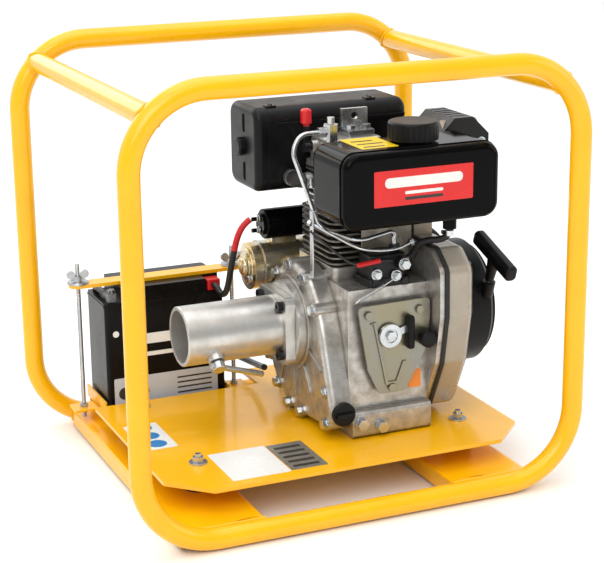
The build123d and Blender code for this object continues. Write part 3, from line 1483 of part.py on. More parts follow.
with BuildPart() as battery_case:
    with BuildSketch(Plane.XY.offset(battery_bottom)):
        with Locations((battery_x, battery_y)):
            RectangleRounded(battery_length, battery_depth, 5.0)
    extrude(amount=battery_height)
    with BuildSketch(Plane.XY.offset(battery_top - 26.0)):
        with Locations((battery_x, battery_y)):
            RectangleRounded(battery_length + 2.0, battery_depth + 1.0, 6.0)
    extrude(amount=3.0)
    with BuildSketch(Plane.XY.offset(battery_top)):
        with Locations((battery_left, battery_front), (battery_right, battery_front)):
            Rectangle(2.0 * notch_length, 2.0 * notch_depth)
    extrude(amount=-notch_height, mode=Mode.SUBTRACT)
    with BuildSketch(Plane.XY.offset(battery_top)):
        with Locations((battery_left, battery_y)):
            Rectangle(2.0 * notch_length, battery_depth + 4.0)
    extrude(amount=-notch_height, mode=Mode.SUBTRACT)
    # the two terminal blocks
    with BuildSketch(Plane.XY.offset(notch_floor)):
        with Locations((left_terminal_x, terminal_y), (right_terminal_x, terminal_y)):
            Rectangle(12.0, 12.0)
    extrude(amount=12.0)
    with BuildSketch(Plane.XY.offset(notch_floor + 12.0)):
        with Locations((left_terminal_x, terminal_y)):
            RegularPolygon(5.0, 6, major_radius=False)
    extrude(amount=5.0)

with BuildPart() as terminal_cover:
    with BuildSketch(Plane.XY.offset(notch_floor + 2.0)):
        with Locations((right_terminal_x, terminal_y)):
            RectangleRounded(20.0, 20.0, 3.0)
    extrude(amount=15.0)
    fillet(terminal_cover.faces().sort_by(Axis.Z)[-1].edges(), 2.0)
    with BuildSketch(Plane.XY.offset(notch_floor + 2.0)):
        with Locations((right_terminal_x, terminal_y)):
            Rectangle(12.4, 12.4)
    extrude(amount=10.2, mode=Mode.SUBTRACT)

tray_wall = 3.0
tray_left = battery_left - tray_gap
tray_right = battery_right + tray_gap
tray_lip = 14.0
with BuildPart() as battery_tray:
    with BuildSketch(Plane.XY.offset(battery_bottom)):
        with Locations(((tray_left + tray_right) / 2.0, battery_y)):
            Rectangle(tray_right - tray_left + 2.0 * tray_wall, battery_depth + 2.0)
        with Locations((rod_left_x, bar_y), (rod_right_x, bar_y)):
            Rectangle(34.0, 32.0)
        with Locations((rod_left_x, bar_y), (rod_right_x, bar_y)):
            Circle(rod_r + stud_gap, mode=Mode.SUBTRACT)
    extrude(amount=-tray_wall)
    for lip_x in (tray_left - tray_wall / 2.0, tray_right + tray_wall / 2.0):
        with BuildSketch(Plane.XY.offset(battery_bottom)):
            with Locations((lip_x, battery_y)):
                Rectangle(tray_wall, battery_depth + 2.0)
        extrude(amount=tray_lip)
    # folded legs that stand on the frame
    with BuildSketch(Plane.XY.offset(battery_bottom)):
        with Locations(((tray_left + channel_inner_left) / 2.0, battery_front + 1.0)):
            Rectangle(channel_inner_left - tray_left - 6.0, tray_wall, align=(Align.CENTER, Align.MIN))
    extrude(amount=channel_top - battery_bottom)
    with BuildSketch(Plane.XY.offset(battery_bottom - tray_wall)):
        with Locations(((tray_left + tray_right) / 2.0, battery_back + 1.0)):
            Rectangle(tray_right - tray_left, tray_wall, align=(Align.CENTER, Align.MAX))
    extrude(amount=channel_top + 3.0 - battery_bottom + tray_wall)
    with Locations(Location((battery_x, hoop_y, tube_r), (0, 90, 0))):
        Cylinder(tube_r, hoop_width, mode=Mode.SUBTRACT)

bar_bottom = battery_top
bar_top = bar_bottom + hold_bar_thick
big_washer_r = 15.0
with BuildPart() as hold_down_bar:
    with BuildSketch(Plane.XY.offset(bar_bottom)):
        with Locations(((rod_left_x + rod_right_x) / 2.0, bar_y)):
            SlotOverall(rod_right_x - rod_left_x + 26.0, 2.0 * hold_bar_half_width)
        with Locations((rod_left_x, bar_y), (rod_right_x, bar_y)):
            Circle(rod_r + stud_gap, mode=Mode.SUBTRACT)
    extrude(amount=hold_bar_thick)

with BuildPart() as hold_down_rods:
    with BuildSketch(Plane.XY.offset(battery_bottom - tray_wall - 12.0)):
        with Locations((rod_left_x, bar_y), (rod_right_x, bar_y)):
            Circle(rod_r)
    extrude(amount=bar_top + 28.0 - battery_bottom + tray_wall + 12.0)
    with BuildSketch(Plane.XY.offset(battery_bottom - tray_wall)):
        with Locations((rod_left_x, bar_y), (rod_right_x, bar_y)):
            RegularPolygon(5.0, 6, major_radius=False)
    extrude(amount=-5.0)
    with BuildSketch(Plane.XY.offset(battery_bottom)):
        with Locations((rod_left_x, bar_y), (rod_right_x, bar_y)):
            RegularPolygon(5.0, 6, major_radius=False)
    extrude(amount=5.0)
    with BuildSketch(Plane.XY.offset(bar_top)):
        with Locations((rod_left_x, bar_y), (rod_right_x, bar_y)):
            Circle(big_washer_r)
    extrude(amount=3.0)

with BuildPart() as left_wing_nut:
    with BuildSketch(Plane.XY.offset(bar_top + 3.0 + running_gap)):
        with Locations((rod_left_x, bar_y)):
            Circle(6.5)
    extrude(amount=7.0, taper=8.0)
    with BuildSketch(Plane.XZ.offset(-bar_y)):
        with Locations((rod_left_x - 10.0, bar_top + 13.0), (rod_left_x + 10.0, bar_top + 13.0)):
            Circle(6.0)
        with Locations((rod_left_x, bar_top + 8.5)):
            Rectangle(20.0, 7.0)
    extrude(amount=1.5, both=True)
    with BuildSketch(Plane.XY.offset(bar_top)):
        with Locations((rod_left_x, bar_y)):
            Circle(rod_r + running_gap)
    extrude(amount=30.0, mode=Mode.SUBTRACT)

with BuildPart() as right_wing_nut:
    add(left_wing_nut.part.moved(Location((rod_right_x - rod_left_x, 0, 0))))

# ---------------------------------------------------------------- battery leads
lead_r = 4.5
positive_route = [
    (solenoid_left - 18.5, solenoid_y, solenoid_z + 8.0),
    (solenoid_left - 34.0, solenoid_y + 1.0, solenoid_z),
    (solenoid_left - 43.0, solenoid_y + 10.0, solenoid_z - 52.0),
    (solenoid_left - 46.0, solenoid_y + 22.0, notch_floor + 8.0),
    (right_terminal_x + 3.0, battery_front - 20.0, notch_floor - 2.0),
    (right_terminal_x, battery_front - 9.0, notch_floor + 9.0),
    (right_terminal_x, terminal_y - 10.0, notch_floor + 9.0),
]
with BuildPart() as positive_lead:
    with BuildLine() as positive_path:
        FilletPolyline(*positive_route, radius=arc_radii(positive_route, 60.0))
    with BuildSketch(Plane(positive_path.line @ 0, z_dir=positive_path.line % 0)):
        Circle(lead_r)
    sweep()

negative_route = [
    (left_terminal_x, terminal_y + 6.2, notch_floor + 6.5),
    (left_terminal_x - 4.0, battery_y, notch_floor + 8.0),
    (left_terminal_x - 2.0, battery_back + 8.0, notch_floor + 4.0),
    (left_terminal_x + 22.0, battery_back + 9.0, battery_bottom + 40.0),
    (rod_right_x + 8.0, battery_back + 7.0, battery_bottom + 34.0),
    (rod_right_x + 24.0, 150.0, battery_bottom + 36.0),
    (cover_left - 8.0, 88.0, 100.0),
]
with BuildPart() as negative_lead:
    with BuildLine() as negative_path:
        FilletPolyline(*negative_route, radius=arc_radii(negative_route, 60.0))
    with BuildSketch(Plane(negative_path.line @ 0, z_dir=negative_path.line % 0)):
        Circle(lead_r)
    sweep()

for node, name in (
    (front_hoop, "front_hoop"),
    (rear_hoop, "rear_hoop"),
    (upper_left_cross_tube, "upper_left_cross_tube"),
    (upper_right_cross_tube, "upper_right_cross_tube"),
    (left_cross_channel, "left_cross_channel"),
    (right_cross_channel, "right_cross_channel"),
    (rubber_mounts, "rubber_mounts"),
    (plate_fasteners, "plate_fasteners"),
    (base_plate, "base_plate"),
    (crankcase, "crankcase"),
    (timing_cover, "timing_cover"),
    (crankcase_bolts, "crankcase_bolts"),
    (cylinder_barrel, "cylinder_barrel"),
    (cylinder_head, "cylinder_head"),
    (rocker_cover, "rocker_cover"),
    (injector, "injector"),
    (decompression_lever, "decompression_lever"),
    (lifting_bracket, "lifting_bracket"),
    (crankshaft, "crankshaft"),
    (drive_coupling, "drive_coupling"),
    (flywheel, "flywheel"),
    (drive_tube, "drive_tube"),
    (adapter_ring, "adapter_ring"),
    (flange_screws, "flange_screws"),
    (lock_screw, "lock_screw"),
    (lock_handle, "lock_handle"),
    (shroud_seal, "shroud_seal"),
    (fan_shroud, "fan_shroud"),
    (recoil_housing, "recoil_housing"),
    (recoil_pulley, "recoil_pulley"),
    (pull_handle, "pull_handle"),
    (pull_rope, "pull_rope"),
    (starter_motor, "starter_motor"),
    (starter_solenoid, "starter_solenoid"),
    (air_cleaner_housing, "air_cleaner_housing"),
    (air_cleaner_cover, "air_cleaner_cover"),
    (cover_knob, "cover_knob"),
    (filter_element, "filter_element"),
    (intake_elbow, "intake_elbow"),
    (muffler, "muffler"),
    (muffler_guard, "muffler_guard"),
    (injection_pump, "injection_pump"),
    (injection_pipe, "injection_pipe"),
    (fuel_tank, "fuel_tank"),
    (fuel_cap, "fuel_cap"),
    (tank_bracket, "tank_bracket"),
    (fuel_hose, "fuel_hose"),
    (lever_plate, "lever_plate"),
    (speed_lever, "speed_lever"),
    (stop_knob, "stop_knob"),
    (oil_filler_plug, "oil_filler_plug"),
    (battery_case, "battery_case"),
    (terminal_cover, "terminal_cover"),
    (battery_tray, "battery_tray"),
    (hold_down_bar, "hold_down_bar"),
    (hold_down_rods, "hold_down_rods"),
    (left_wing_nut, "left_wing_nut"),
    (right_wing_nut, "right_wing_nut"),
    (positive_lead, "positive_lead"),
    (negative_lead, "negative_lead"),
):
    node.part.label = name
    export_step(node.part, "parts/" + name + ".step")
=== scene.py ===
import math

import bmesh
import bpy
from bpy.props import FloatProperty, FloatVectorProperty, PointerProperty
from mathutils import Matrix, Vector


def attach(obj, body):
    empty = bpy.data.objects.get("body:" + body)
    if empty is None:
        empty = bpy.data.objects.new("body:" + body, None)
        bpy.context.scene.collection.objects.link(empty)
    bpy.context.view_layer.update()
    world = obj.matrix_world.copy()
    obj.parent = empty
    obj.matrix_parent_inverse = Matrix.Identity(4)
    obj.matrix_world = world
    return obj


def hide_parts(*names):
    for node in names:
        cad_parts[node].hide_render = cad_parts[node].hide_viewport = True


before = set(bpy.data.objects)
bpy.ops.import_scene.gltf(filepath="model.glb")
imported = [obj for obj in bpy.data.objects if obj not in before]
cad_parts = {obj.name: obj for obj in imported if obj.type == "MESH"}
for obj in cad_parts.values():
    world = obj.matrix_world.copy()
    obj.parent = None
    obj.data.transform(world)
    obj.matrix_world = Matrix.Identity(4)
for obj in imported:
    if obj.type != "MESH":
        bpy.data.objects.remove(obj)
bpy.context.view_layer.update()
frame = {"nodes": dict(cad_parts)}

bl_info = {
    "name": "Engine Drive Unit",
    "version": (1, 0, 0),
    "blender": (4, 5, 0),
    "location": "View3D > Sidebar > Drive Unit",
    "description": "Finishes, small fittings and stage of a framed engine drive unit",
    "category": "Object",
}

MM = 0.001
WAVE_BANDS = 20.0  # the wave texture turns this many radians per unit of its scale
NEAR_RAYS = 4  # rays that the bevel and the corner shading send out
RIGHT, LEFT, NEAR, FAR, UP = (1, 0, 0), (-1, 0, 0), (0, -1, 0), (0, 1, 0), (0, 0, 1)

# Places that several pieces share, in millimetres.
TUBE_RADIUS = 13.45
HOOP_Y = 244.65  # middle of each hoop's tube, before and behind the centre
CORNER = (266.3, 529.8)  # x and z where an upper cross tube meets the hoops
CHANNEL_EDGES = ((-245.0, -136.0), (122.0, 231.0))  # left and right edge of each cross channel
PLATE_TOP = 58.9
CRANK_Z = 191.4  # the crankshaft lies along x at this height
CAP_X = 272  # outer face of the recoil cap
STARTER_END, STARTER_Y, STARTER_Z = -22, 104, 246  # left end and axis of the starter motor
TANK_FRONT, TANK_TOP = -160, 446
BATTERY_FRONT = 150


def linear(hex_colour):
    """An sRGB hex value as linear red, green, blue and alpha."""
    channels = [int(hex_colour[i:i + 2], 16) / 255 for i in (1, 3, 5)]
    return (*(c / 12.92 if c <= 0.04045 else ((c + 0.055) / 1.055) ** 2.4 for c in channels), 1.0)


def colour(value):
    """A linear colour, from an sRGB hex value or from a setting."""
    return linear(value) if isinstance(value, str) else tuple(value)


def darker(value, share):
    """A colour with a share of its brightness."""
    return tuple(c * share for c in colour(value)[:3]) + (1.0,)


def paint(name, hex_colour, text):
    """A colour setting with its default given as an sRGB hex value."""
    return FloatVectorProperty(name=name, description=text, subtype="COLOR", size=4, min=0.0, max=1.0,
                               default=linear(hex_colour))


def amount(name, default, text, unit="NONE"):
    """A setting that is never negative, such as a strength or a power."""
    return FloatProperty(name=name, description=text, default=default, min=0.0, unit=unit)


def size(name, default, text):
    """A length setting in metres."""
    return amount(name, default, text, "LENGTH")


def angle(name, degrees, text):
    """An angle setting, given in degrees."""
    return FloatProperty(name=name, description=text, default=math.radians(degrees), unit="ROTATION")


class UnitColours(bpy.types.PropertyGroup):
    """Colours of the finishes."""

    frame: paint("Frame", "#FAB806", "Powder coat on the tube frame")
    shroud: paint("Shroud", "#A79F91", "Enamel on the fan shroud")
    panel: paint("Tank panel", "#D81E1C", "Printed panel on the front of the tank")
    sticker: paint("Tank sticker", "#F4D21A", "Printed sticker on top of the tank")
    sign: paint("Plate signs", "#2A7FC1", "Discs on the sticker of the base plate")
    tag: paint("Orange tag", "#F08A1C", "Tag beside the lever plate")
    red: paint("Red parts", "#C8141B", "Terminal cover, valve lever grip and lead sleeves")


class UnitSizes(bpy.types.PropertyGroup):
    """Sizes of the small fittings."""

    weld_radius: size("Weld bead", 2.2 * MM, "Radius of the weld beads")
    label_thickness: size("Label", 0.3 * MM, "Thickness of the labels")
    lead_diameter: size("Battery lead", 9.0 * MM, "Diameter of the battery leads")
    hose_diameter: size("Fuel hose", 9.0 * MM, "Diameter of the fuel hose")
    wire_diameter: size("Wire", 3.6 * MM, "Diameter of the sensor wire")
    rope_diameter: size("Starting rope", 3.5 * MM, "Diameter of the starting rope")


class UnitStage(bpy.types.PropertyGroup):
    """Camera and lights."""

    azimuth: angle("Azimuth", -23.2428, "Camera angle around the unit")
    elevation: angle("Elevation", 15.7199, "Camera angle above the floor")
    roll: angle("Roll", -0.7037, "Camera turn about its own axis")
    lens: FloatProperty(name="Lens", description="Focal length on a 36 mm sensor", default=98.02, min=1.0,
                        unit="CAMERA")
    key_power: amount("Key light", 27.0, "Power of the large front light", "POWER")
    fill_power: amount("Fill lights", 13.0, "Power of each of the side and back lights", "POWER")
    top_power: amount("Top light", 12.0, "Power of the overhead light", "POWER")
    glow: amount("Overhead glow", 1.35, "Strength of the wide soft light from above")
    sky: amount("Surroundings", 1.05, "Strength of the pale surroundings behind")
    sky_front: amount("Front surroundings", 0.38, "Strength of the darker surroundings in front")


def colours():
    return bpy.context.scene.unit_colours


def sizes():
    return bpy.context.scene.unit_sizes


# ---------------------------------------------------------------- materials


def add(tree, kind, links=None, values=None, **settings):
    """Adds one node.

    Links join its inputs to outputs, values fill inputs by number, settings fill options or inputs by name.
    """
    node = tree.nodes.new("ShaderNode" + kind)
    for name, value in settings.items():
        if hasattr(node, name):
            setattr(node, name, value)
        else:
            node.inputs[name.replace("_", " ")].default_value = value
    for number, value in (values or {}).items():
        node.inputs[number].default_value = value
    for socket, output in (links or {}).items():
        tree.links.new(output, node.inputs[socket])
    return node


def per_metre(millimetres):
    """Texture scale whose features are about this many millimetres across."""
    return 1.0 / (millimetres * MM)


def wave_scale(millimetres):
    """Wave texture scale that repeats every so many millimetres."""
    return 2 * math.pi / (WAVE_BANDS * millimetres * MM)


def surface(name, main, second, patch, grain, height, metallic=0.0, roughness=0.4, spread=0.06, coat=0.0,
            shine=0.5, dust_and_shade=None, dust_and_shade_reach=7.0, edge=0.6, worn=None, pattern=None, pattern_depth=0.0):
    """A finish: two colours in patches, grain in its relief, a corner colour (dust on the black finishes,
    painted shade on the others) and wear on rounded edges.

    Patch, grain, height, the reach of the corner colour, edge and pattern_depth are in millimetres. Roughness
    varies by spread.
    """
    material = bpy.data.materials.get(name)
    if material:
        return material
    material = bpy.data.materials.new(name)
    material.use_nodes = True
    tree = material.node_tree
    tree.nodes.clear()
    place = add(tree, "TexCoord").outputs["Object"]
    patches = add(tree, "TexNoise", {"Vector": place}, Scale=per_metre(patch), Detail=5.0,
                  Roughness=0.62).outputs["Fac"]
    grains = add(tree, "TexNoise", {"Vector": place}, Scale=per_metre(grain), Detail=3.0,
                 Roughness=0.55).outputs["Fac"]
    spots = add(tree, "MapRange", {"Value": patches}, From_Min=0.35, From_Max=0.65).outputs["Result"]
    shade = add(tree, "MixRGB", {"Fac": spots}, Color1=colour(main), Color2=colour(second)).outputs["Color"]
    # The corner shading turns corners toward the corner colour: dust where it is lighter than the finish,
    # painted shade where it is darker.
    if dust_and_shade:
        open_sky = add(tree, "AmbientOcclusion", samples=NEAR_RAYS, Distance=dust_and_shade_reach * MM).outputs["AO"]
        corners = add(tree, "MapRange", {"Value": open_sky}, From_Min=0.25, From_Max=0.8, To_Min=0.85,
                      To_Max=0.0).outputs["Result"]
        shade = add(tree, "MixRGB", {"Fac": corners, "Color1": shade}, Color2=colour(dust_and_shade)).outputs["Color"]
    rounded_edge = add(tree, "Bevel", samples=NEAR_RAYS, Radius=edge * MM).outputs["Normal"]
    if worn:
        true_normal = add(tree, "NewGeometry").outputs["Normal"]
        bend = add(tree, "VectorMath", {0: rounded_edge, 1: true_normal},
                   operation="DOT_PRODUCT").outputs["Value"]
        edges = add(tree, "MapRange", {"Value": bend}, From_Min=0.995, From_Max=0.86,
                    To_Max=0.9).outputs["Result"]
        rubbed = add(tree, "Math", {0: edges, 1: spots}, operation="MULTIPLY").outputs["Value"]
        shade = add(tree, "MixRGB", {"Fac": rubbed, "Color1": shade}, Color2=colour(worn)).outputs["Color"]
    gloss = add(tree, "MapRange", {"Value": patches}, From_Min=0.3, From_Max=0.7,
                To_Min=max(roughness - spread, 0.02), To_Max=roughness + spread).outputs["Result"]
    relief = add(tree, "Bump", {"Height": grains, "Normal": rounded_edge}, Strength=0.6,
                 Distance=height * MM).outputs["Normal"]
    if pattern:
        relief = add(tree, "Bump", {"Height": pattern(tree, place), "Normal": relief}, Strength=0.7,
                     Distance=pattern_depth * MM).outputs["Normal"]
    shader = add(tree, "BsdfPrincipled", {"Base Color": shade, "Roughness": gloss, "Normal": relief},
                 Metallic=metallic, IOR=1.5, Specular_IOR_Level=shine, Coat_Weight=coat, Coat_Roughness=0.06)
    add(tree, "OutputMaterial", {"Surface": shader.outputs["BSDF"]})
    return material


def bands(direction, pitch, distortion=0.6):
    """Relief in bands across one direction, such as turning marks, pleats or strands."""

    def build(tree, place):
        return add(tree, "TexWave", {"Vector": place}, bands_direction=direction, Scale=wave_scale(pitch),
                   Distortion=distortion, Detail=2.0, Detail_Scale=0.5).outputs["Fac"]

    return build


def cells(width):
    """Relief in small cells, such as a leather-like mould grain."""

    def build(tree, place):
        return add(tree, "TexVoronoi", {"Vector": place}, Scale=per_metre(width)).outputs["Distance"]

    return build


SLEEVE_END_Z = 272  # where the black sleeve of the positive cable ends, in mm
LEVER_GRIP_Z = 456  # lower end of the valve lever's red grip, in mm


def powder_coat():
    # Polyester powder coat on mild steel: deep gloss with a soft orange peel, so highlights ripple slightly.
    main = colours().frame
    # Corners turn a deeper yellow: painted shade.
    return surface("polyester_powder_coat", main, darker(main, 0.93), patch=60, grain=3.2, height=0.05,
                   roughness=0.24, spread=0.04, coat=0.2, shine=0.4, dust_and_shade="#D99A00", dust_and_shade_reach=3, edge=0.8)


def die_cast():
    # Pressure die-cast aluminium, left raw: bright mottled skin, with grey-brown painted shade in the
    # corners.
    return surface("die_cast_aluminium", "#C6C4C0", "#9F9B93", patch=16, grain=1.4, height=0.16,
                   metallic=0.82, roughness=0.36, spread=0.1, dust_and_shade="#4B4237", dust_and_shade_reach=9, edge=1.2,
                   worn="#EDEBE6", pattern=cells(3.2), pattern_depth=0.06)


def dark_cast():
    # Sand-cast aluminium cylinder, heat-darkened: coarser grain and a duller skin than the die castings.
    # Corners turn near black: painted shade.
    return surface("sand_cast_aluminium", "#8A877F", "#66625B", patch=12, grain=1.1, height=0.2, metallic=0.8,
                   roughness=0.48, spread=0.1, dust_and_shade="#2E2A25", dust_and_shade_reach=10, edge=0.6)


def turned():
    # Aluminium turned on a lathe: rings round the tube and a satin sheen that spreads highlights. The rings
    # are drawn coarser than the real feed marks, so that they show.
    # Corners turn a darker grey: painted shade.
    return surface("turned_aluminium", "#D6D5D1", "#BFBDB8", patch=34, grain=2.0, height=0.05, metallic=0.85,
                   roughness=0.34, spread=0.08, dust_and_shade="#6A655D", dust_and_shade_reach=5, edge=0.8,
                   pattern=bands("X", 1.6, 0.3), pattern_depth=0.03)


def ground_steel():
    # Machined carbon steel with an oil film: cool grey, fairly tight highlights. The tool marks are drawn
    # coarser than real ones, so that they show.
    # Corners turn dark brown-grey: painted shade.
    return surface("machined_steel", "#9C9B98", "#7C7A77", patch=18, grain=1.2, height=0.03, metallic=0.95,
                   roughness=0.3, spread=0.08, dust_and_shade="#2F2A26", edge=0.6, pattern=bands("X", 1.8, 0.4),
                   pattern_depth=0.02)


def heat_steel():
    # Mild steel exhaust box, heat-tinted: straw and brown clouds over a dull grey.
    # Corners turn near black: painted shade.
    return surface("heat_tinted_steel", "#6E6258", "#8A7258", patch=26, grain=0.9, height=0.06, metallic=0.85,
                   roughness=0.5, spread=0.12, dust_and_shade="#241E1A", edge=0.8)


def zinc():
    # Bright zinc plate over steel: bluish silver, lightly hazed, wiped shiny on the edges.
    # Corners turn dark grey: painted shade.
    return surface("bright_zinc_plate", "#D3D6D8", "#BCC1C5", patch=24, grain=1.6, height=0.015,
                   metallic=0.95, roughness=0.26, spread=0.06, dust_and_shade="#5A5853", dust_and_shade_reach=2, edge=0.4,
                   worn="#EEF0F1")


def threaded_zinc():
    # Rolled thread on zinc-plated rod: close bright ridges over the whole length.
    # Corners turn dark grey: painted shade.
    return surface("zinc_thread", "#C6CACD", "#AEB3B7", patch=20, grain=1.4, height=0.02, metallic=0.95,
                   roughness=0.3, spread=0.06, dust_and_shade="#4A4844", dust_and_shade_reach=2, edge=0.2,
                   pattern=bands("Z", 1.25, 0.0), pattern_depth=0.5)


def gold_zinc():
    # Starter yoke in zinc with a thin gold chromate: silver that turns to straw in clouds.
    # Corners turn dark olive brown: painted shade.
    return surface("gold_zinc_plate", "#D3D0C6", "#D6BE80", patch=24, grain=1.4, height=0.02, metallic=0.92,
                   roughness=0.24, spread=0.08, dust_and_shade="#4D4636", dust_and_shade_reach=5, edge=0.5)


def lead_alloy():
    # Cast lead terminal: dull soft grey with scuffed brighter patches.
    # Corners turn near black: painted shade.
    return surface("cast_lead_alloy", "#8D9094", "#6F7276", patch=5, grain=0.8, height=0.06, metallic=0.8,
                   roughness=0.5, spread=0.1, dust_and_shade="#34332F", dust_and_shade_reach=3, edge=0.4)


def chromate():
    # Yellow chromate over zinc plate: olive and gold clouds with a pink cast, semi-gloss.
    # Corners turn dark olive: painted shade.
    return surface("yellow_chromate_plate", "#8E8D84", "#979078", patch=46, grain=1.6, height=0.02,
                   metallic=0.85, roughness=0.3, spread=0.06, dust_and_shade="#5A5240", dust_and_shade_reach=5, edge=0.4)


def gloss_enamel():
    # Stoved black enamel on pressed steel: near mirror gloss over long soft waves in the sheet.
    return surface("black_stoved_enamel", "#050506", "#080808", patch=70, grain=14, height=0.05,
                   roughness=0.1, spread=0.03, shine=0.08, edge=1.0, worn="#1C1C1D")


def satin_enamel():
    # Black enamel on castings and brackets: satin with a fine dusty texture.
    return surface("black_satin_enamel", "#0A0A0B", "#131314", patch=20, grain=1.2, height=0.05,
                   roughness=0.32, spread=0.08, shine=0.3, dust_and_shade="#2A2724", edge=0.8, worn="#47474A")


def black_oxide():
    # Black oxide on screws: dark oily steel that shines on its rims.
    return surface("black_oxide_steel", "#1B1B1D", "#28282A", patch=6, grain=0.7, height=0.03, metallic=0.6,
                   roughness=0.36, spread=0.08, edge=0.4, worn="#77777A")


def moulded():
    # Glass-filled nylon, injection moulded: spark-eroded texture, drawn coarser than real so that it shows,
    # a soft sheen and greyer rubbed edges.
    return surface("moulded_nylon", "#08080A", "#101011", patch=35, grain=0.9, height=0.05, roughness=0.36,
                   spread=0.07, shine=0.2, edge=0.8, worn="#2C2C2D", pattern=cells(1.8), pattern_depth=0.03)


def battery_plastic():
    # Polypropylene battery box: smoother and glossier than nylon, with dust lying in its corners.
    return surface("black_polypropylene", "#09090A", "#0F0F10", patch=50, grain=2.2, height=0.03,
                   roughness=0.24, shine=0.13, spread=0.06, dust_and_shade="#2A2825", dust_and_shade_reach=6, edge=0.8)


def shroud_enamel():
    # Grey-beige enamel on the pressed fan shroud: semi-gloss with fine peel.
    main = colours().shroud
    # Corners turn dark grey-brown: painted shade.
    return surface("grey_beige_enamel", main, darker(main, 0.88), patch=45, grain=2.4, height=0.05,
                   metallic=0.25, roughness=0.3, spread=0.07, coat=0.2, dust_and_shade="#5A5248", edge=1.0,
                   worn="#CFC9BE")


def rubber():
    # Moulded nitrile rubber: matt black with a grey bloom in patches.
    return surface("nitrile_rubber", "#141414", "#1F1E1D", patch=14, grain=0.8, height=0.08, roughness=0.62,
                   spread=0.1, dust_and_shade="#35312C", edge=0.6)


def cable_jacket():
    # Extruded PVC over stranded copper: smooth, slightly glossy, with faint strand ridges showing through.
    return surface("black_cable_jacket", "#0F0F10", "#171717", patch=20, grain=2.4, height=0.05,
                   roughness=0.38, spread=0.08, edge=0.3)


def red_ended_jacket():
    # Starter cable: red insulation at the solenoid, then a black split sleeve with fine ribs.
    material = surface("red_ended_cable_jacket", "#0F0F10", "#171717", patch=20, grain=2.4, height=0.05,
                       roughness=0.4, spread=0.06, edge=0.3, pattern=bands("Z", 3.0, 0.0), pattern_depth=0.4)
    return red_above(material, SLEEVE_END_Z)


def red_above(material, height):
    """Turns a finish red above a height in millimetres."""
    tree = material.node_tree
    shader = next(n for n in tree.nodes if n.type == "BSDF_PRINCIPLED")
    lower = shader.inputs["Base Color"].links[0].from_socket
    place = add(tree, "TexCoord").outputs["Object"]
    level = add(tree, "SeparateXYZ", {"Vector": place}).outputs["Z"]
    above = add(tree, "Math", {0: level}, {1: height * MM}, operation="GREATER_THAN").outputs["Value"]
    mixed = add(tree, "MixRGB", {"Fac": above, "Color1": lower}, Color2=colour(colours().red))
    tree.links.new(mixed.outputs["Color"], shader.inputs["Base Color"])
    return material


def red_tipped():
    # Valve lever: black enamelled arm with a red dipped grip.
    material = surface("red_tipped_lever", "#101011", "#18181A", patch=12, grain=1.6, height=0.03,
                       roughness=0.32, spread=0.05, edge=0.6)
    return red_above(material, LEVER_GRIP_Z)


def red_plastic():
    # Dipped vinyl and moulded ABS in red: bright, smooth and slightly waxy.
    main = colours().red
    # Corners turn dark red: painted shade.
    return surface("red_vinyl", main, darker(main, 0.8), patch=12, grain=1.6, height=0.05, roughness=0.32,
                   spread=0.06, dust_and_shade="#5A0A0D", dust_and_shade_reach=3, edge=0.6)


def filter_paper():
    # Resin-treated cellulose: matt straw colour, folded into close pleats.
    # Corners turn dark brown: painted shade.
    return surface("pleated_filter_paper", "#C8B27C", "#B79F68", patch=9, grain=0.5, height=0.05,
                   roughness=0.85, spread=0.05, dust_and_shade="#6E5C38", edge=0.3, pattern=bands("X", 4.0, 0.1),
                   pattern_depth=1.2)


def braid():
    # Braided nylon rope: dull grey-white strands crossing on the slant.
    return surface("braided_nylon", "#D0CCC0", "#8F8B80", patch=2.0, grain=0.6, height=0.1, roughness=0.75,
                   spread=0.08, edge=0.2, pattern=bands("DIAGONAL", 2.4, 0.2), pattern_depth=0.5)


def print_film(name, main):
    # Printed polyester film: flat even colour, low gloss, with the faint waviness of a stuck label.
    return surface(name, main, darker(main, 0.94), patch=25, grain=9, height=0.06, roughness=0.3, spread=0.05,
                   edge=0.15)


def etched_plate():
    # Anodised aluminium rating plate: satin grey, brushed in lines drawn coarser than real so that they show.
    return surface("anodised_plate", "#B9B7AE", "#99968C", patch=12, grain=0.8, height=0.02, metallic=0.8,
                   roughness=0.38, spread=0.08, edge=0.2, pattern=bands("Y", 0.9, 1.5), pattern_depth=0.02)


NODE_FINISHES = (
    (powder_coat, ("front_hoop", "rear_hoop", "upper_left_cross_tube", "upper_right_cross_tube",
                   "left_cross_channel", "right_cross_channel", "base_plate", "battery_tray",
                   "hold_down_bar")),
    (die_cast, ("crankcase", "timing_cover", "cylinder_head", "rocker_cover")),
    (dark_cast, ("cylinder_barrel",)),
    (turned, ("drive_tube", "adapter_ring")),
    (ground_steel, ("crankshaft", "drive_coupling", "flywheel")),
    (heat_steel, ("muffler",)),
    (zinc, ("plate_fasteners", "lifting_bracket", "crankcase_bolts", "injector", "lock_screw", "lock_handle",
            "injection_pipe", "speed_lever", "left_wing_nut", "right_wing_nut")),
    (threaded_zinc, ("hold_down_rods",)),
    (chromate, ("lever_plate",)),
    (gold_zinc, ("starter_motor",)),
    (gloss_enamel, ("fuel_tank", "starter_solenoid")),
    (satin_enamel, ("muffler_guard", "injection_pump", "tank_bracket")),
    (black_oxide, ("flange_screws",)),
    (moulded, ("recoil_housing", "recoil_pulley", "pull_handle", "air_cleaner_housing", "air_cleaner_cover",
               "cover_knob", "fuel_cap", "stop_knob", "oil_filler_plug")),
    (battery_plastic, ("battery_case",)),
    (shroud_enamel, ("fan_shroud",)),
    (rubber, ("rubber_mounts", "shroud_seal", "intake_elbow")),
    (red_plastic, ("terminal_cover",)),
    (red_tipped, ("decompression_lever",)),
    (filter_paper, ("filter_element",)),
    (braid, ("pull_rope",)),
)


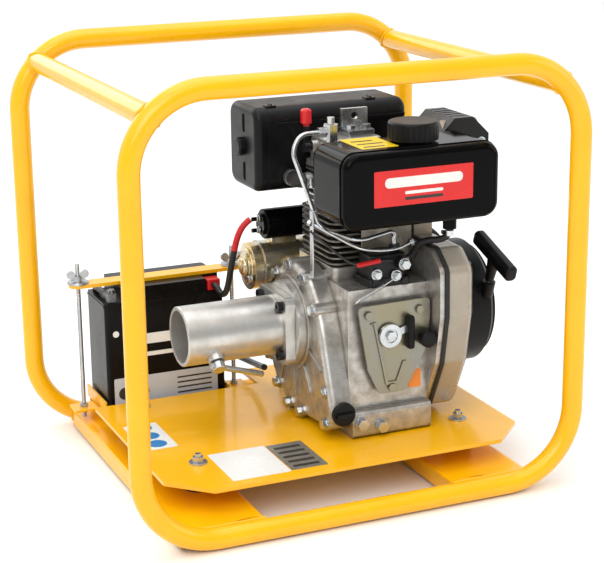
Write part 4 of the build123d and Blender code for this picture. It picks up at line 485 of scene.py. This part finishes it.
def dress(finish, names):
    """Gives CAD nodes a finish in all their material slots."""
    material = finish()
    for name in names:
        node = frame["nodes"][name]
        if not node.material_slots:
            node.data.materials.append(material)
        for place in node.material_slots:
            place.material = material


# ---------------------------------------------------------------- shapes


def round_steps(count):
    """Angles of so many even steps round a circle."""
    return [2 * math.pi * i / count for i in range(count)]


def put(name, data):
    """Makes an object and places it in the scene."""
    item = bpy.data.objects.new(name, data)
    bpy.context.scene.collection.objects.link(item)
    return item


def across(axis):
    """Two unit vectors square to an axis and to each other."""
    axis = Vector(axis).normalized()
    helper = Vector(UP) if abs(axis.z) < 0.9 else Vector(RIGHT)
    first = axis.cross(helper).normalized()
    return first, axis.cross(first)


class Shape:
    """Points and faces of one piece, gathered in millimetres."""

    def __init__(self):
        self.points = []
        self.faces = []

    def loft(self, rings, looped=False):
        """Joins rings of equal length with quads, and closes the ends."""
        first = len(self.points)
        count = len(rings[0])
        for ring in rings:
            self.points.extend(Vector(p) * MM for p in ring)
        spans = len(rings) if looped else len(rings) - 1
        for i in range(spans):
            here = first + i * count
            there = first + (i + 1) % len(rings) * count
            for j in range(count):
                k = (j + 1) % count
                self.faces.append((here + j, here + k, there + k, there + j))
        if not looped:
            last = first + (len(rings) - 1) * count
            self.faces.append(tuple(range(first, first + count)))
            self.faces.append(tuple(range(last, last + count)))
        return self

    def lathe(self, at, axis, profile, sides=40, looped=False, turn=0.0):
        """Turns (radius, distance) pairs about an axis."""
        axis = Vector(axis).normalized()
        u, v = across(axis)
        rings = []
        for radius, distance in profile:
            centre = Vector(at) + axis * distance
            rings.append([centre + (u * math.cos(a + turn) + v * math.sin(a + turn)) * radius
                          for a in round_steps(sides)])
        return self.loft(rings, looped)

    def tube(self, path, radii, sides=12, looped=False):
        """Sweeps a circle along a path, with one radius or one for each point."""
        path = [Vector(p) for p in path]
        count = len(path)
        radii = [radii] * count if isinstance(radii, (int, float)) else radii
        rings = []
        side = None
        for i, point in enumerate(path):
            before = path[i - 1] if i or looped else path[0]
            after = path[(i + 1) % count] if i + 1 < count or looped else path[-1]
            along = (after - before).normalized()
            side = across(along)[0] if side is None else (side - along * side.dot(along)).normalized()
            other = along.cross(side)
            rings.append([point + (side * math.cos(a) + other * math.sin(a)) * radii[i]
                          for a in round_steps(sides)])
        return self.loft(rings, looped)

    def slab(self, outline, depth):
        """A flat plate from its outline and its thickness vector."""
        depth = Vector(depth)
        return self.loft([[Vector(p) for p in outline], [Vector(p) + depth for p in outline]])

    def hexagon(self, at, axis, flats, height, washer=0.0, turn=0.0):
        """A bolt head with chamfered corners, on a washer of a given radius if it has one."""
        corner = flats / math.sqrt(3)
        chamfer = 0.8
        base = 1.2 if washer else 0.0
        if washer:
            self.lathe(at, axis, [(washer, 0), (washer, base - 0.2), (washer - 0.3, base)], sides=28)
        top = base + height
        profile = [(corner, base), (corner, top - chamfer), (corner - chamfer, top)]
        return self.lathe(at, axis, profile, sides=6, turn=turn)

    def band(self, at, axis, inner, outer, half, sides):
        """A flat ring that reaches half its width to each side."""
        profile = [(outer, -half), (outer, half), (inner, half), (inner, -half)]
        return self.lathe(at, axis, profile, sides=sides, looped=True)

    def clamp(self, at, axis, radius, width=7.0):
        """A worm-drive hose clamp: a band, its housing and its screw head."""
        axis = Vector(axis).normalized()
        self.band(at, axis, radius + 0.1, radius + 1.0, width / 2, sides=40)
        u, v = across(axis)
        centre = Vector(at) + u * (radius + 2.6)
        self.tube([centre - v * 5.0, centre + v * 4.0], 2.4, sides=16)
        self.tube([centre + v * 4.0, centre + v * 5.2, centre + v * 7.5], [2.0, 3.1, 3.1], sides=6)
        return self

    def piece(self, name, material, body, slot, soften=0.0, crease=32.0):
        """Makes the piece, riding on its body, with its edges softened by a small bevel."""
        mesh = bpy.data.meshes.new(name)
        mesh.from_pydata([tuple(p) for p in self.points], [], self.faces)
        work = bmesh.new()
        work.from_mesh(mesh)
        bmesh.ops.recalc_face_normals(work, faces=work.faces)
        work.to_mesh(mesh)
        work.free()
        mesh.materials.append(material)
        for face in mesh.polygons:
            face.use_smooth = True
        mesh.set_sharp_from_angle(angle=math.radians(crease))
        item = put(name, mesh)
        if soften:
            bevel = item.modifiers.new("soft_edges", "BEVEL")
            bevel.width = soften * MM
            bevel.segments = 2
            bevel.limit_method = "ANGLE"
            bevel.angle_limit = math.radians(crease)
        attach(item, body)
        return item


def rounded(corner, side, up, radius, steps=5):
    """Outline of a rounded rectangle, from one corner and its two side vectors."""
    corner, side, up = Vector(corner), Vector(side), Vector(up)
    s, u = side.normalized(), up.normalized()
    far, high = side.length - radius, up.length - radius
    outline = []
    for x, y, start in ((far, high, 0), (radius, high, 90), (radius, radius, 180), (far, radius, 270)):
        for i in range(steps + 1):
            a = math.radians(start + 90 * i / steps)
            outline.append(corner + s * (x + radius * math.cos(a)) + u * (y + radius * math.sin(a)))
    return outline


def bead(shape, path, radius, looped=False, pitch=2.6):
    """A weld bead along a path, with the ripples of a stepped weld pool."""
    path = [Vector(p) for p in path]
    travelled = 0.0
    radii = []
    for i, point in enumerate(path):
        travelled += (point - path[i - 1]).length if i else 0.0
        radii.append(radius * (0.9 + 0.16 * abs(math.sin(math.pi * travelled / pitch))))
    return shape.tube(path, radii, sides=10, looped=looped)


def line(start, end, step):
    """Points along a straight run, about a step apart."""
    start, end = Vector(start), Vector(end)
    count = max(2, int((end - start).length / step) + 1)
    return [start.lerp(end, i / (count - 1)) for i in range(count)]


def smooth(route, count):
    """Points along a smooth curve that passes through the route's points."""
    route = [Vector(p) for p in route]
    ends = [route[0] * 2 - route[1]] + route + [route[-1] * 2 - route[-2]]
    spans = len(route) - 1
    points = []
    for i in range(count + 1):
        t = i / count * spans
        k = min(int(t), spans - 1)
        f = t - k
        a, b, c, d = ends[k:k + 4]
        points.append(0.5 * ((2 * b) + (c - a) * f + (2 * a - 5 * b + 4 * c - d) * f * f
                             + (3 * b - a - 3 * c + d) * f ** 3))
    return points


def label(name, corner, side, up, radius, film, slot="black_plastic", layer=0):
    """A thin label with rounded corners on a fixed part. Layer 1 is print that lies on a label."""
    gap, print_depth = 0.1, 0.25  # as shares of the label's thickness
    thickness = sizes().label_thickness / MM
    normal = Vector(side).cross(Vector(up)).normalized()
    base = Vector(corner) + normal * thickness * (gap + layer)
    depth = normal * (thickness if layer == 0 else thickness * print_depth)
    return Shape().slab(rounded(base, side, up, radius), depth).piece(name, film, "chassis", slot)


def flex(name, route, radius, material, body):
    """A cord as one smooth spline whose control points are its route, in millimetres."""
    curve = bpy.data.curves.new(name, "CURVE")
    curve.dimensions = "3D"
    curve.resolution_u = 10
    curve.bevel_depth = radius
    curve.bevel_resolution = 5
    curve.use_fill_caps = True
    spline = curve.splines.new("NURBS")
    spline.points.add(len(route) - 1)
    for point, place in zip(spline.points, route):
        point.co = (*(c * MM for c in place), 1.0)
    spline.order_u = 3
    spline.use_endpoint_u = True
    curve.materials.append(material)
    item = put(name, curve)
    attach(item, body)
    return item


# ---------------------------------------------------------------- operators


class DRIVEUNIT_OT_finishes(bpy.types.Operator):
    """Gives every part of the unit its finish"""

    bl_idname = "driveunit.finishes"
    bl_label = "Part finishes"

    def execute(self, context):
        for finish, names in NODE_FINISHES:
            dress(finish, names)
        return {"FINISHED"}


class DRIVEUNIT_OT_welds(bpy.types.Operator):
    """Lays the weld beads of the tube frame"""

    bl_idname = "driveunit.welds"
    bl_label = "Frame welds"

    def execute(self, context):
        radius = sizes().weld_radius / MM
        tube_welds = Shape()
        for sx in (-1, 1):
            outward = Vector((sx, 0, 1)).normalized()
            along = Vector((1, 0, -sx)).normalized()
            for sy in (-1, 1):
                loop = []
                for a in round_steps(72):
                    y = sy * (HOOP_Y - TUBE_RADIUS * abs(math.cos(a)) - 1.0)
                    spot = Vector((sx * CORNER[0], y, CORNER[1]))
                    loop.append(spot + (along * math.cos(a) + outward * math.sin(a)) * (TUBE_RADIUS + 0.2))
                bead(tube_welds, loop, radius, looped=True)
        tube_welds.piece("cross_tube_welds", powder_coat(), "chassis", "frame_paint", crease=60)
        channel_welds = Shape()
        step = 0.7
        for left, right in CHANNEL_EDGES:
            for sy in (-1, 1):
                bead(channel_welds, line((left, sy * 239.6, 26.3), (right, sy * 239.6, 26.3), step), radius)
                for x in (left, right):
                    bead(channel_welds, line((x, sy * 234.0, 9.0), (x, sy * 238.6, 25.0), step), radius * 0.8)
        channel_welds.piece("cross_channel_welds", powder_coat(), "chassis", "frame_paint", crease=60)
        return {"FINISHED"}


class DRIVEUNIT_OT_screws(bpy.types.Operator):
    """Fits the small screws of the shroud, recoil housing, muffler guard and starter"""

    bl_idname = "driveunit.screws"
    bl_label = "Small screws"

    def execute(self, context):
        shroud = Shape()
        for y, z in ((-120, 276), (118, 280), (-92, 110), (92, 110)):
            shroud.hexagon((202, y, z), RIGHT, 10, 5, washer=7.5, turn=0.3)
        shroud.piece("shroud_screws", zinc(), "chassis", "zinc_steel")
        recoil = Shape()
        reach = 106
        for degrees in (45, 135, 225, 315):
            a = math.radians(degrees)
            recoil.hexagon((208, reach * math.cos(a), CRANK_Z + reach * math.sin(a)), RIGHT, 8, 5, washer=5.6)
        recoil.piece("recoil_screws", black_oxide(), "chassis", "black_paint")
        guard = Shape()
        for x, z in ((210, 360), (263, 360), (210, 424), (263, 424)):
            guard.hexagon((x, -48.5, z), NEAR, 8, 4.5, washer=6.5)
        guard.piece("guard_screws", zinc(), "chassis", "zinc_steel")
        starter = Shape()
        reach = 25
        for degrees in (30, 210):
            a = math.radians(degrees)
            spot = (STARTER_END, STARTER_Y + reach * math.cos(a), STARTER_Z + reach * math.sin(a))
            starter.hexagon(spot, LEFT, 8, 4, washer=5.5)
        for z in (299, 315):
            starter.hexagon((-5, 92, z), LEFT, 8, 3.5, washer=5.0)
        starter.piece("starter_screws", zinc(), "chassis", "zinc_steel")
        return {"FINISHED"}


class DRIVEUNIT_OT_starter(bpy.types.Operator):
    """Adds the stepped end cap and bands of the starter motor"""

    bl_idname = "driveunit.starter"
    bl_label = "Starter details"

    def execute(self, context):
        steps = [(20.5, -0.5), (20.5, 2.2), (18.5, 3.2), (13.0, 3.2), (12.2, 6.0), (10.5, 7.2), (4.5, 7.2),
                 (4.0, 8.2)]
        cap = Shape().lathe((STARTER_END, STARTER_Y, STARTER_Z), LEFT, steps, sides=56)
        cap.piece("starter_end_cap", gold_zinc(), "chassis", "chromate_steel", soften=0.3)
        rings = Shape()
        for x in (-3.0, 60.0, 100.0):
            rings.band((x, STARTER_Y, STARTER_Z), RIGHT, 34.6, 35.4, 1.4, sides=64)
        rings.piece("starter_bands", zinc(), "chassis", "zinc_steel")
        return {"FINISHED"}


LEADS = (
    # name, CAD node it stands for, finish, setting of its diameter, length in metres, route in millimetres
    ("positive_cable", "positive_lead", red_ended_jacket, "lead_diameter", 0.155,
     ((-18.5, 92, 315), (-34, 93, 307), (-43, 102, 255), (-46, 114, 210), (-49, 130, 200), (-52, 141, 211),
      (-52, 151, 211))),
    ("negative_cable", "negative_lead", cable_jacket, "lead_diameter", 0.483,
     ((-201, 167.2, 208.5), (-205, 193.5, 210), (-203, 245, 206), (-179, 246, 86), (-4, 244, 80),
      (12, 150, 82), (-3, 88, 100))),
    ("fuel_feed_hose", "fuel_hose", rubber, "hose_diameter", 0.089,
     ((175, -125, 330), (175, -125, 315), (142, -101, 312), (139, -87, 284), (122, -87, 284))),
)


class DRIVEUNIT_OT_leads(bpy.types.Operator):
    """Runs the battery leads, fuel hose, starting rope and sensor wire"""

    bl_idname = "driveunit.leads"
    bl_label = "Leads and hoses"

    def execute(self, context):
        for name, node, finish, setting, length, route in LEADS:
            diameter = getattr(sizes(), setting)
            cable = flex(name, route, diameter / 2, finish(), "chassis")
            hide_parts(node)
        # The rope lies along the handle's slide: through the eye of the housing and up into the handle.
        pull = Vector((0, -0.33, 0.944)).normalized()
        eye = Vector((258, -84, 232.4))
        rope_route = [tuple(eye + pull * d) for d in (-99.5, -53, -7, 39.5)]
        diameter = sizes().rope_diameter
        rope = flex("starting_rope", rope_route, diameter / 2, braid(), "pull_grip")
        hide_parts("pull_rope")
        wire_route = ((12, -46, 326), (30, -84, 304), (47, -114, 289), (82, -114, 296), (98, -113, 292))
        diameter = sizes().wire_diameter
        wire = flex("sensor_wire", wire_route, diameter / 2, cable_jacket(), "chassis")
        sleeve = Shape().tube(line((48, -113.4, 291.5), (80, -113.8, 294.6), 4.0), 3.1, sides=20)
        sleeve = sleeve.piece("sensor_wire_sleeve", red_plastic(), "chassis", "red_plastic", soften=0.5)
        return {"FINISHED"}


class DRIVEUNIT_OT_fittings(bpy.types.Operator):
    """Adds the clamps, return pipe, governor spring, lever grip, pump bolts, cowl, tank stay and clips"""

    bl_idname = "driveunit.fittings"
    bl_label = "Engine fittings"

    def execute(self, context):
        clamps = Shape()
        clamps.clamp((175, -125, 324), UP, 4.6)
        clamps.clamp((129, -87, 284), RIGHT, 4.6)
        clamps.clamp((31, 6, 382), RIGHT, 10.1, width=9)
        clamps.clamp((20, 33, 382), FAR, 10.1, width=9)
        clamps.piece("hose_clamps", zinc(), "chassis", "zinc_steel")
        route = ((14, -44, 336), (36, -72, 322), (62, -102, 309), (100, -112, 307), (124, -112, 313))
        pipe = Shape().tube(smooth(route, 40), 2.0, sides=14)
        pipe.hexagon(route[0], (-0.6, 0.7, 0.3), 8, 5)
        pipe.hexagon(route[-1], (0.8, 0, 0.3), 9, 5)
        pipe.piece("fuel_return_pipe", zinc(), "chassis", "zinc_steel")
        low, high = (50, -118, 247), (84, -118, 262)
        turns, steps, coil_radius = 14, 14, 2.6
        spring = []
        for i in range(turns * steps + 1):
            a = 2 * math.pi * i / steps
            spot = Vector(low).lerp(Vector(high), i / (turns * steps))
            spring.append(spot + Vector((0, math.cos(a), math.sin(a))) * coil_radius)
        coil = Shape().tube(spring, 0.5, sides=6)
        coil.tube([high, (96, -118, 268), (104, -116, 274)], 1.1, sides=10)
        coil.tube([low, (44, -118, 243), (44, -112, 241)], 1.1, sides=10)
        coil.piece("governor_spring", zinc(), "chassis", "zinc_steel", crease=60)
        grip_rings = []
        for grow, rise in ((-0.4, 0), (0.7, 1.5), (0.7, 39), (0.1, 43), (-0.4, 44)):
            corner = (111.5 - grow, -137 - grow, 176.5 + rise)
            grip_rings.append(rounded(corner, (8 + 2 * grow, 0, 0), (0, 12 + 2 * grow, 0), 3.4))
        grip = Shape().loft(grip_rings)
        grip.piece("speed_lever_grip", moulded(), "speed_control", "black_plastic", soften=0.4)
        pump = Shape()
        for x, z in ((77, 275), (105, 271)):
            pump.hexagon((x, -110, z), NEAR, 10, 5, washer=7.5)
        pump.hexagon((112, -120, 288), NEAR, 12, 6, washer=8)
        pump.piece("pump_bolts", zinc(), "chassis", "zinc_steel")
        cowl = Shape()
        panel = rounded((80, -56.3, 277.5), (74, 0, 0), (0, 0, 66), 6)
        cowl.slab(panel, (0, -1.2, 0))
        for height in (288, 322):
            cowl.slab(rounded((86, -57.4, height), (60, 0, 0), (0, 0, 5), 2.4), (0, -1.6, 0))
        cowl.piece("cylinder_cowl", shroud_enamel(), "chassis", "shroud_paint", soften=0.4)
        stay = Shape().slab(rounded((13, -50, 262), (0, 9, 0), (0, 0, 92), 2), (1.8, 0, 0))
        stay.slab(rounded((13, -50, 352.2), (12, 0, 0), (0, 9, 0), 2), (0, 0, 1.6))
        stay.piece("tank_stay", zinc(), "chassis", "zinc_steel", soften=0.3)
        clips = Shape()
        for x in (0, 147):
            clips.loft([[(x - 7, 52, z), (x + 7, 52, z), (x + 7, 66, z), (x - 7, 66, z)]
                        for z in (475.6, 477.8)])
            clips.tube([(x, 53, 478.5), (x, 65, 478.5)], 1.6, sides=12)
        clips.piece("air_cleaner_clips", satin_enamel(), "chassis", "black_paint", soften=0.5)
        return {"FINISHED"}


class DRIVEUNIT_OT_covers(bpy.types.Operator):
    """Adds the battery terminal, the cover grilles and the rings on the recoil cap"""

    bl_idname = "driveunit.covers"
    bl_label = "Terminal, grilles and rings"

    def execute(self, context):
        post = Shape().slab(rounded((-207.3, 154.7, 202.3), (12.6, 0, 0), (0, 12.6, 0), 1.0), (0, 0, 12.1))
        post.hexagon((-201, 161, 214.4), UP, 10.6, 4.6, washer=6.0)
        post.tube([(-201, 166.8, 208.5), (-201.8, 172, 208.7), (-202.9, 179, 209.2)], 5.3, sides=20)
        post.piece("negative_terminal", lead_alloy(), "chassis", "zinc_steel", soften=0.3)
        grille = Shape()
        face, wire_radius = -24.5, 0.55
        for middle in (386, 452):
            for i in range(9):
                y = 72.5 + 23 / 8 * i
                grille.tube([(face, y, middle - 6), (face, y, middle + 6)], wire_radius, sides=8)
            for i in range(4):
                z = middle - 4.2 + 2.8 * i
                grille.tube([(face, 70, z), (face, 98, z)], wire_radius, sides=8)
        grille.piece("air_cleaner_grilles", zinc(), "cleaner_cover", "black_plastic", crease=60)
        rings = Shape()
        centre = (CAP_X, 0, CRANK_Z)
        for outer, inner in ((79, 75), (40, 37.5)):
            ridge = [(outer, -0.5), (outer - 0.7, 1.1), (inner + 0.7, 1.1), (inner, -0.5)]
            rings.lathe(centre, RIGHT, ridge, sides=96, looped=True)
        rings.lathe(centre, RIGHT, [(13, -0.5), (13, 0.8), (11.5, 1.6), (4, 1.6)], sides=48)
        rings.piece("recoil_cap_rings", moulded(), "chassis", "black_plastic")
        return {"FINISHED"}


class DRIVEUNIT_OT_labels(bpy.types.Operator):
    """Sticks on the plain labels and plates, which carry no lettering"""

    bl_idname = "driveunit.labels"
    bl_label = "Labels"

    def execute(self, context):
        chosen = colours()
        white = print_film("white_film", "#E9E9E6")
        dark = print_film("dark_print", "#2B2B2D")
        red = print_film("red_film", chosen.panel)
        yellow = print_film("yellow_film", chosen.sticker)
        blue = print_film("blue_print", chosen.sign)
        orange = print_film("orange_film", chosen.tag)
        pale = print_film("pale_blue_film", "#C3CAD3")
        brushed = etched_plate()

        face = TANK_FRONT
        label("tank_panel", (49, face, 376.5), (140, 0, 0), (0, 0, 46), 1.5, red, "black_paint")
        label("tank_panel_bar", (64, face, 400), (110, 0, 0), (0, 0, 13), 6, white, "black_paint", 1)
        label("tank_panel_line", (92, face, 390.5), (54, 0, 0), (0, 0, 4), 1.9, white, "black_paint", 1)
        label("tank_panel_line_low", (92, face, 383), (54, 0, 0), (0, 0, 4), 1.9, dark, "black_paint", 1)

        face = TANK_TOP
        label("tank_sticker", (47, -130, face), (52, 0, 0), (0, 70, 0), 2, yellow, "black_paint")
        for i, width in enumerate((30, 36, 30)):
            label(f"tank_sticker_line_{i}", (54, -122 + 19 * i, face), (width, 0, 0), (0, 6, 0), 1, dark,
                  "black_paint", 1)

        face = PLATE_TOP
        label("plate_label", (-158, -190, face), (78, 0, 0), (0, 95, 0), 2, white, "frame_paint")
        label("rating_plate", (-78.5, -188, face), (50, 0, 0), (0, 90, 0), 1.5, brushed, "machined_aluminium")
        for i in range(5):
            label(f"rating_plate_line_{i}", (-72, -180 + 16 * i, face), (36, 0, 0), (0, 7, 0), 1, dark,
                  "machined_aluminium", 1)
        label("sign_sticker", (-226, -48, face), (46, 0, 0), (0, 96, 0), 3, white, "frame_paint")
        for i in range(3):
            label(f"sign_disc_{i}", (-216, -42 + 31 * i, face), (26, 0, 0), (0, 26, 0), 12.9, blue,
                  "frame_paint", 1)
        label("orange_tag", (123, -112, 114), (18, 0, 0), (0, 0, 25), 1, orange, "cast_aluminium")

        face = BATTERY_FRONT
        label("battery_label", (-205, face, 52), (154, 0, 0), (0, 0, 40), 2, pale)
        for i in range(4):
            label(f"battery_label_bar_{i}", (-112, face, 58 + 7.5 * i), (52, 0, 0), (0, 0, 2.4), 1, dark,
                  layer=1)
        for i in range(2):
            label(f"battery_label_disc_{i}", (-199 + 27 * i, face, 60), (18, 0, 0), (0, 0, 18), 8.9, dark,
                  layer=1)
        label("battery_band", (-157, face, 138), (88, 0, 0), (0, 0, 15), 2, white)
        label("battery_band_low", (-157, face, 120), (74, 0, 0), (0, 0, 6), 1.5, white)
        label("battery_mark", (-204, face, 153), (9, 0, 0), (0, 0, 9), 4.4, white)
        label("guard_plate", (208, -46, 439), (56, 0, 0), (0, 15, 15), 2, brushed, "black_paint")
        return {"FINISHED"}


# Stage, in metres.
CAMERA_AT = Vector((-0.82255, -1.95876, 0.84536))
LAMPS_AIM = Vector((0.02, 0.0, 0.24))
LAMPS = (
    # name, place, width, setting of its power
    ("key_light", (-1.5, -2.2, 1.9), 1.7, "key_power"),
    ("fill_light", (2.2, -1.3, 1.2), 1.6, "fill_power"),
    ("top_light", (0.1, 0.3, 2.4), 1.8, "top_power"),
    ("back_light", (-0.6, 2.3, 1.6), 1.6, "fill_power"),
)
FLOOR_REACH = 30.0
FLOOR_GAP = 0.0004  # keeps the floor's face clear of the tubes' lowest line


def matt_floor():
    # Painted studio board: pale, matt and almost even.
    return surface("pale_matt_floor", "#F4F4F2", "#F1F1EF", patch=400, grain=6, height=0.01, roughness=0.7,
                   spread=0.05)


class DRIVEUNIT_OT_stage(bpy.types.Operator):
    """Sets the camera, lights, floor and surroundings"""

    bl_idname = "driveunit.stage"
    bl_label = "Stage"

    def execute(self, context):
        scene = context.scene
        stage = scene.unit_stage
        az, el = stage.azimuth, stage.elevation
        back = Vector((math.sin(az) * math.cos(el), -math.cos(az) * math.cos(el), math.sin(el)))
        level = Vector((math.cos(az), math.sin(az), 0))
        upright = back.cross(level)
        right = level * math.cos(stage.roll) + upright * math.sin(stage.roll)
        up = back.cross(right)
        lens = bpy.data.cameras.new("camera")
        lens.lens = stage.lens
        lens.sensor_width = 36.0
        lens.dof.use_dof = False
        camera = put("camera", lens)
        camera.matrix_world = Matrix.Translation(CAMERA_AT) @ Matrix((right, up, back)).transposed().to_4x4()
        scene.camera = camera
        for name, spot, width, setting in LAMPS:
            lamp = bpy.data.lights.new(name, "AREA")
            lamp.size = width
            lamp.energy = getattr(stage, setting)
            item = put(name, lamp)
            item.location = spot
            item.rotation_euler = (LAMPS_AIM - Vector(spot)).to_track_quat("-Z", "Y").to_euler()
        glow = bpy.data.lights.new("overhead_glow", "SUN")
        glow.energy = stage.glow
        glow.angle = math.radians(70)  # a wide sky rather than a sharp sun
        put("overhead_glow", glow).rotation_euler = (math.radians(24), math.radians(-14), 0)
        world = bpy.data.worlds.new("pale_surroundings")
        world.use_nodes = True
        tree = world.node_tree
        direction = add(tree, "TexCoord").outputs["Generated"]
        towards = add(tree, "SeparateXYZ", {"Vector": direction}).outputs["Y"]
        strength = add(tree, "MapRange", {"Value": towards}, From_Min=-0.5, From_Max=0.3,
                       To_Min=stage.sky_front, To_Max=stage.sky).outputs["Result"]
        background = tree.nodes["Background"]
        tree.links.new(strength, background.inputs["Strength"])
        background.inputs["Color"].default_value = linear("#FFFFFF")
        scene.world = world
        scene.view_settings.view_transform = "Standard"
        ground = bpy.data.meshes.new("floor")
        ground.from_pydata([(x * FLOOR_REACH, y * FLOOR_REACH, -FLOOR_GAP)
                            for x, y in ((-1, -1), (1, -1), (1, 1), (-1, 1))], [], [(0, 1, 2, 3)])
        ground.materials.append(matt_floor())
        floor = put("floor", ground)
        return {"FINISHED"}


OPERATORS = (DRIVEUNIT_OT_finishes, DRIVEUNIT_OT_welds, DRIVEUNIT_OT_screws, DRIVEUNIT_OT_starter,
             DRIVEUNIT_OT_leads, DRIVEUNIT_OT_fittings, DRIVEUNIT_OT_covers, DRIVEUNIT_OT_labels,
             DRIVEUNIT_OT_stage)


class DRIVEUNIT_PT_panel(bpy.types.Panel):
    """Lists the settings and steps of the drive unit"""

    bl_idname = "DRIVEUNIT_PT_panel"
    bl_label = "Engine Drive Unit"
    bl_space_type = "VIEW_3D"
    bl_region_type = "UI"
    bl_category = "Drive Unit"

    def draw(self, context):
        for group in (context.scene.unit_colours, context.scene.unit_sizes, context.scene.unit_stage):
            column = self.layout.column()
            for name in group.__annotations__:
                column.prop(group, name)
        for operator in OPERATORS:
            self.layout.operator(operator.bl_idname)


CLASSES = (UnitColours, UnitSizes, UnitStage, *OPERATORS, DRIVEUNIT_PT_panel)


def register():
    for item in CLASSES:
        bpy.utils.register_class(item)
    bpy.types.Scene.unit_colours = PointerProperty(type=UnitColours)
    bpy.types.Scene.unit_sizes = PointerProperty(type=UnitSizes)
    bpy.types.Scene.unit_stage = PointerProperty(type=UnitStage)


def unregister():
    del bpy.types.Scene.unit_stage
    del bpy.types.Scene.unit_sizes
    del bpy.types.Scene.unit_colours
    for item in reversed(CLASSES):
        bpy.utils.unregister_class(item)


def main():
    register()
    bpy.ops.driveunit.finishes()
    bpy.ops.driveunit.welds()
    bpy.ops.driveunit.screws()
    bpy.ops.driveunit.starter()
    bpy.ops.driveunit.leads()
    bpy.ops.driveunit.fittings()
    bpy.ops.driveunit.covers()
    bpy.ops.driveunit.labels()
    bpy.ops.driveunit.stage()
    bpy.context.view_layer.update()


if __name__ == "__main__":
    main()
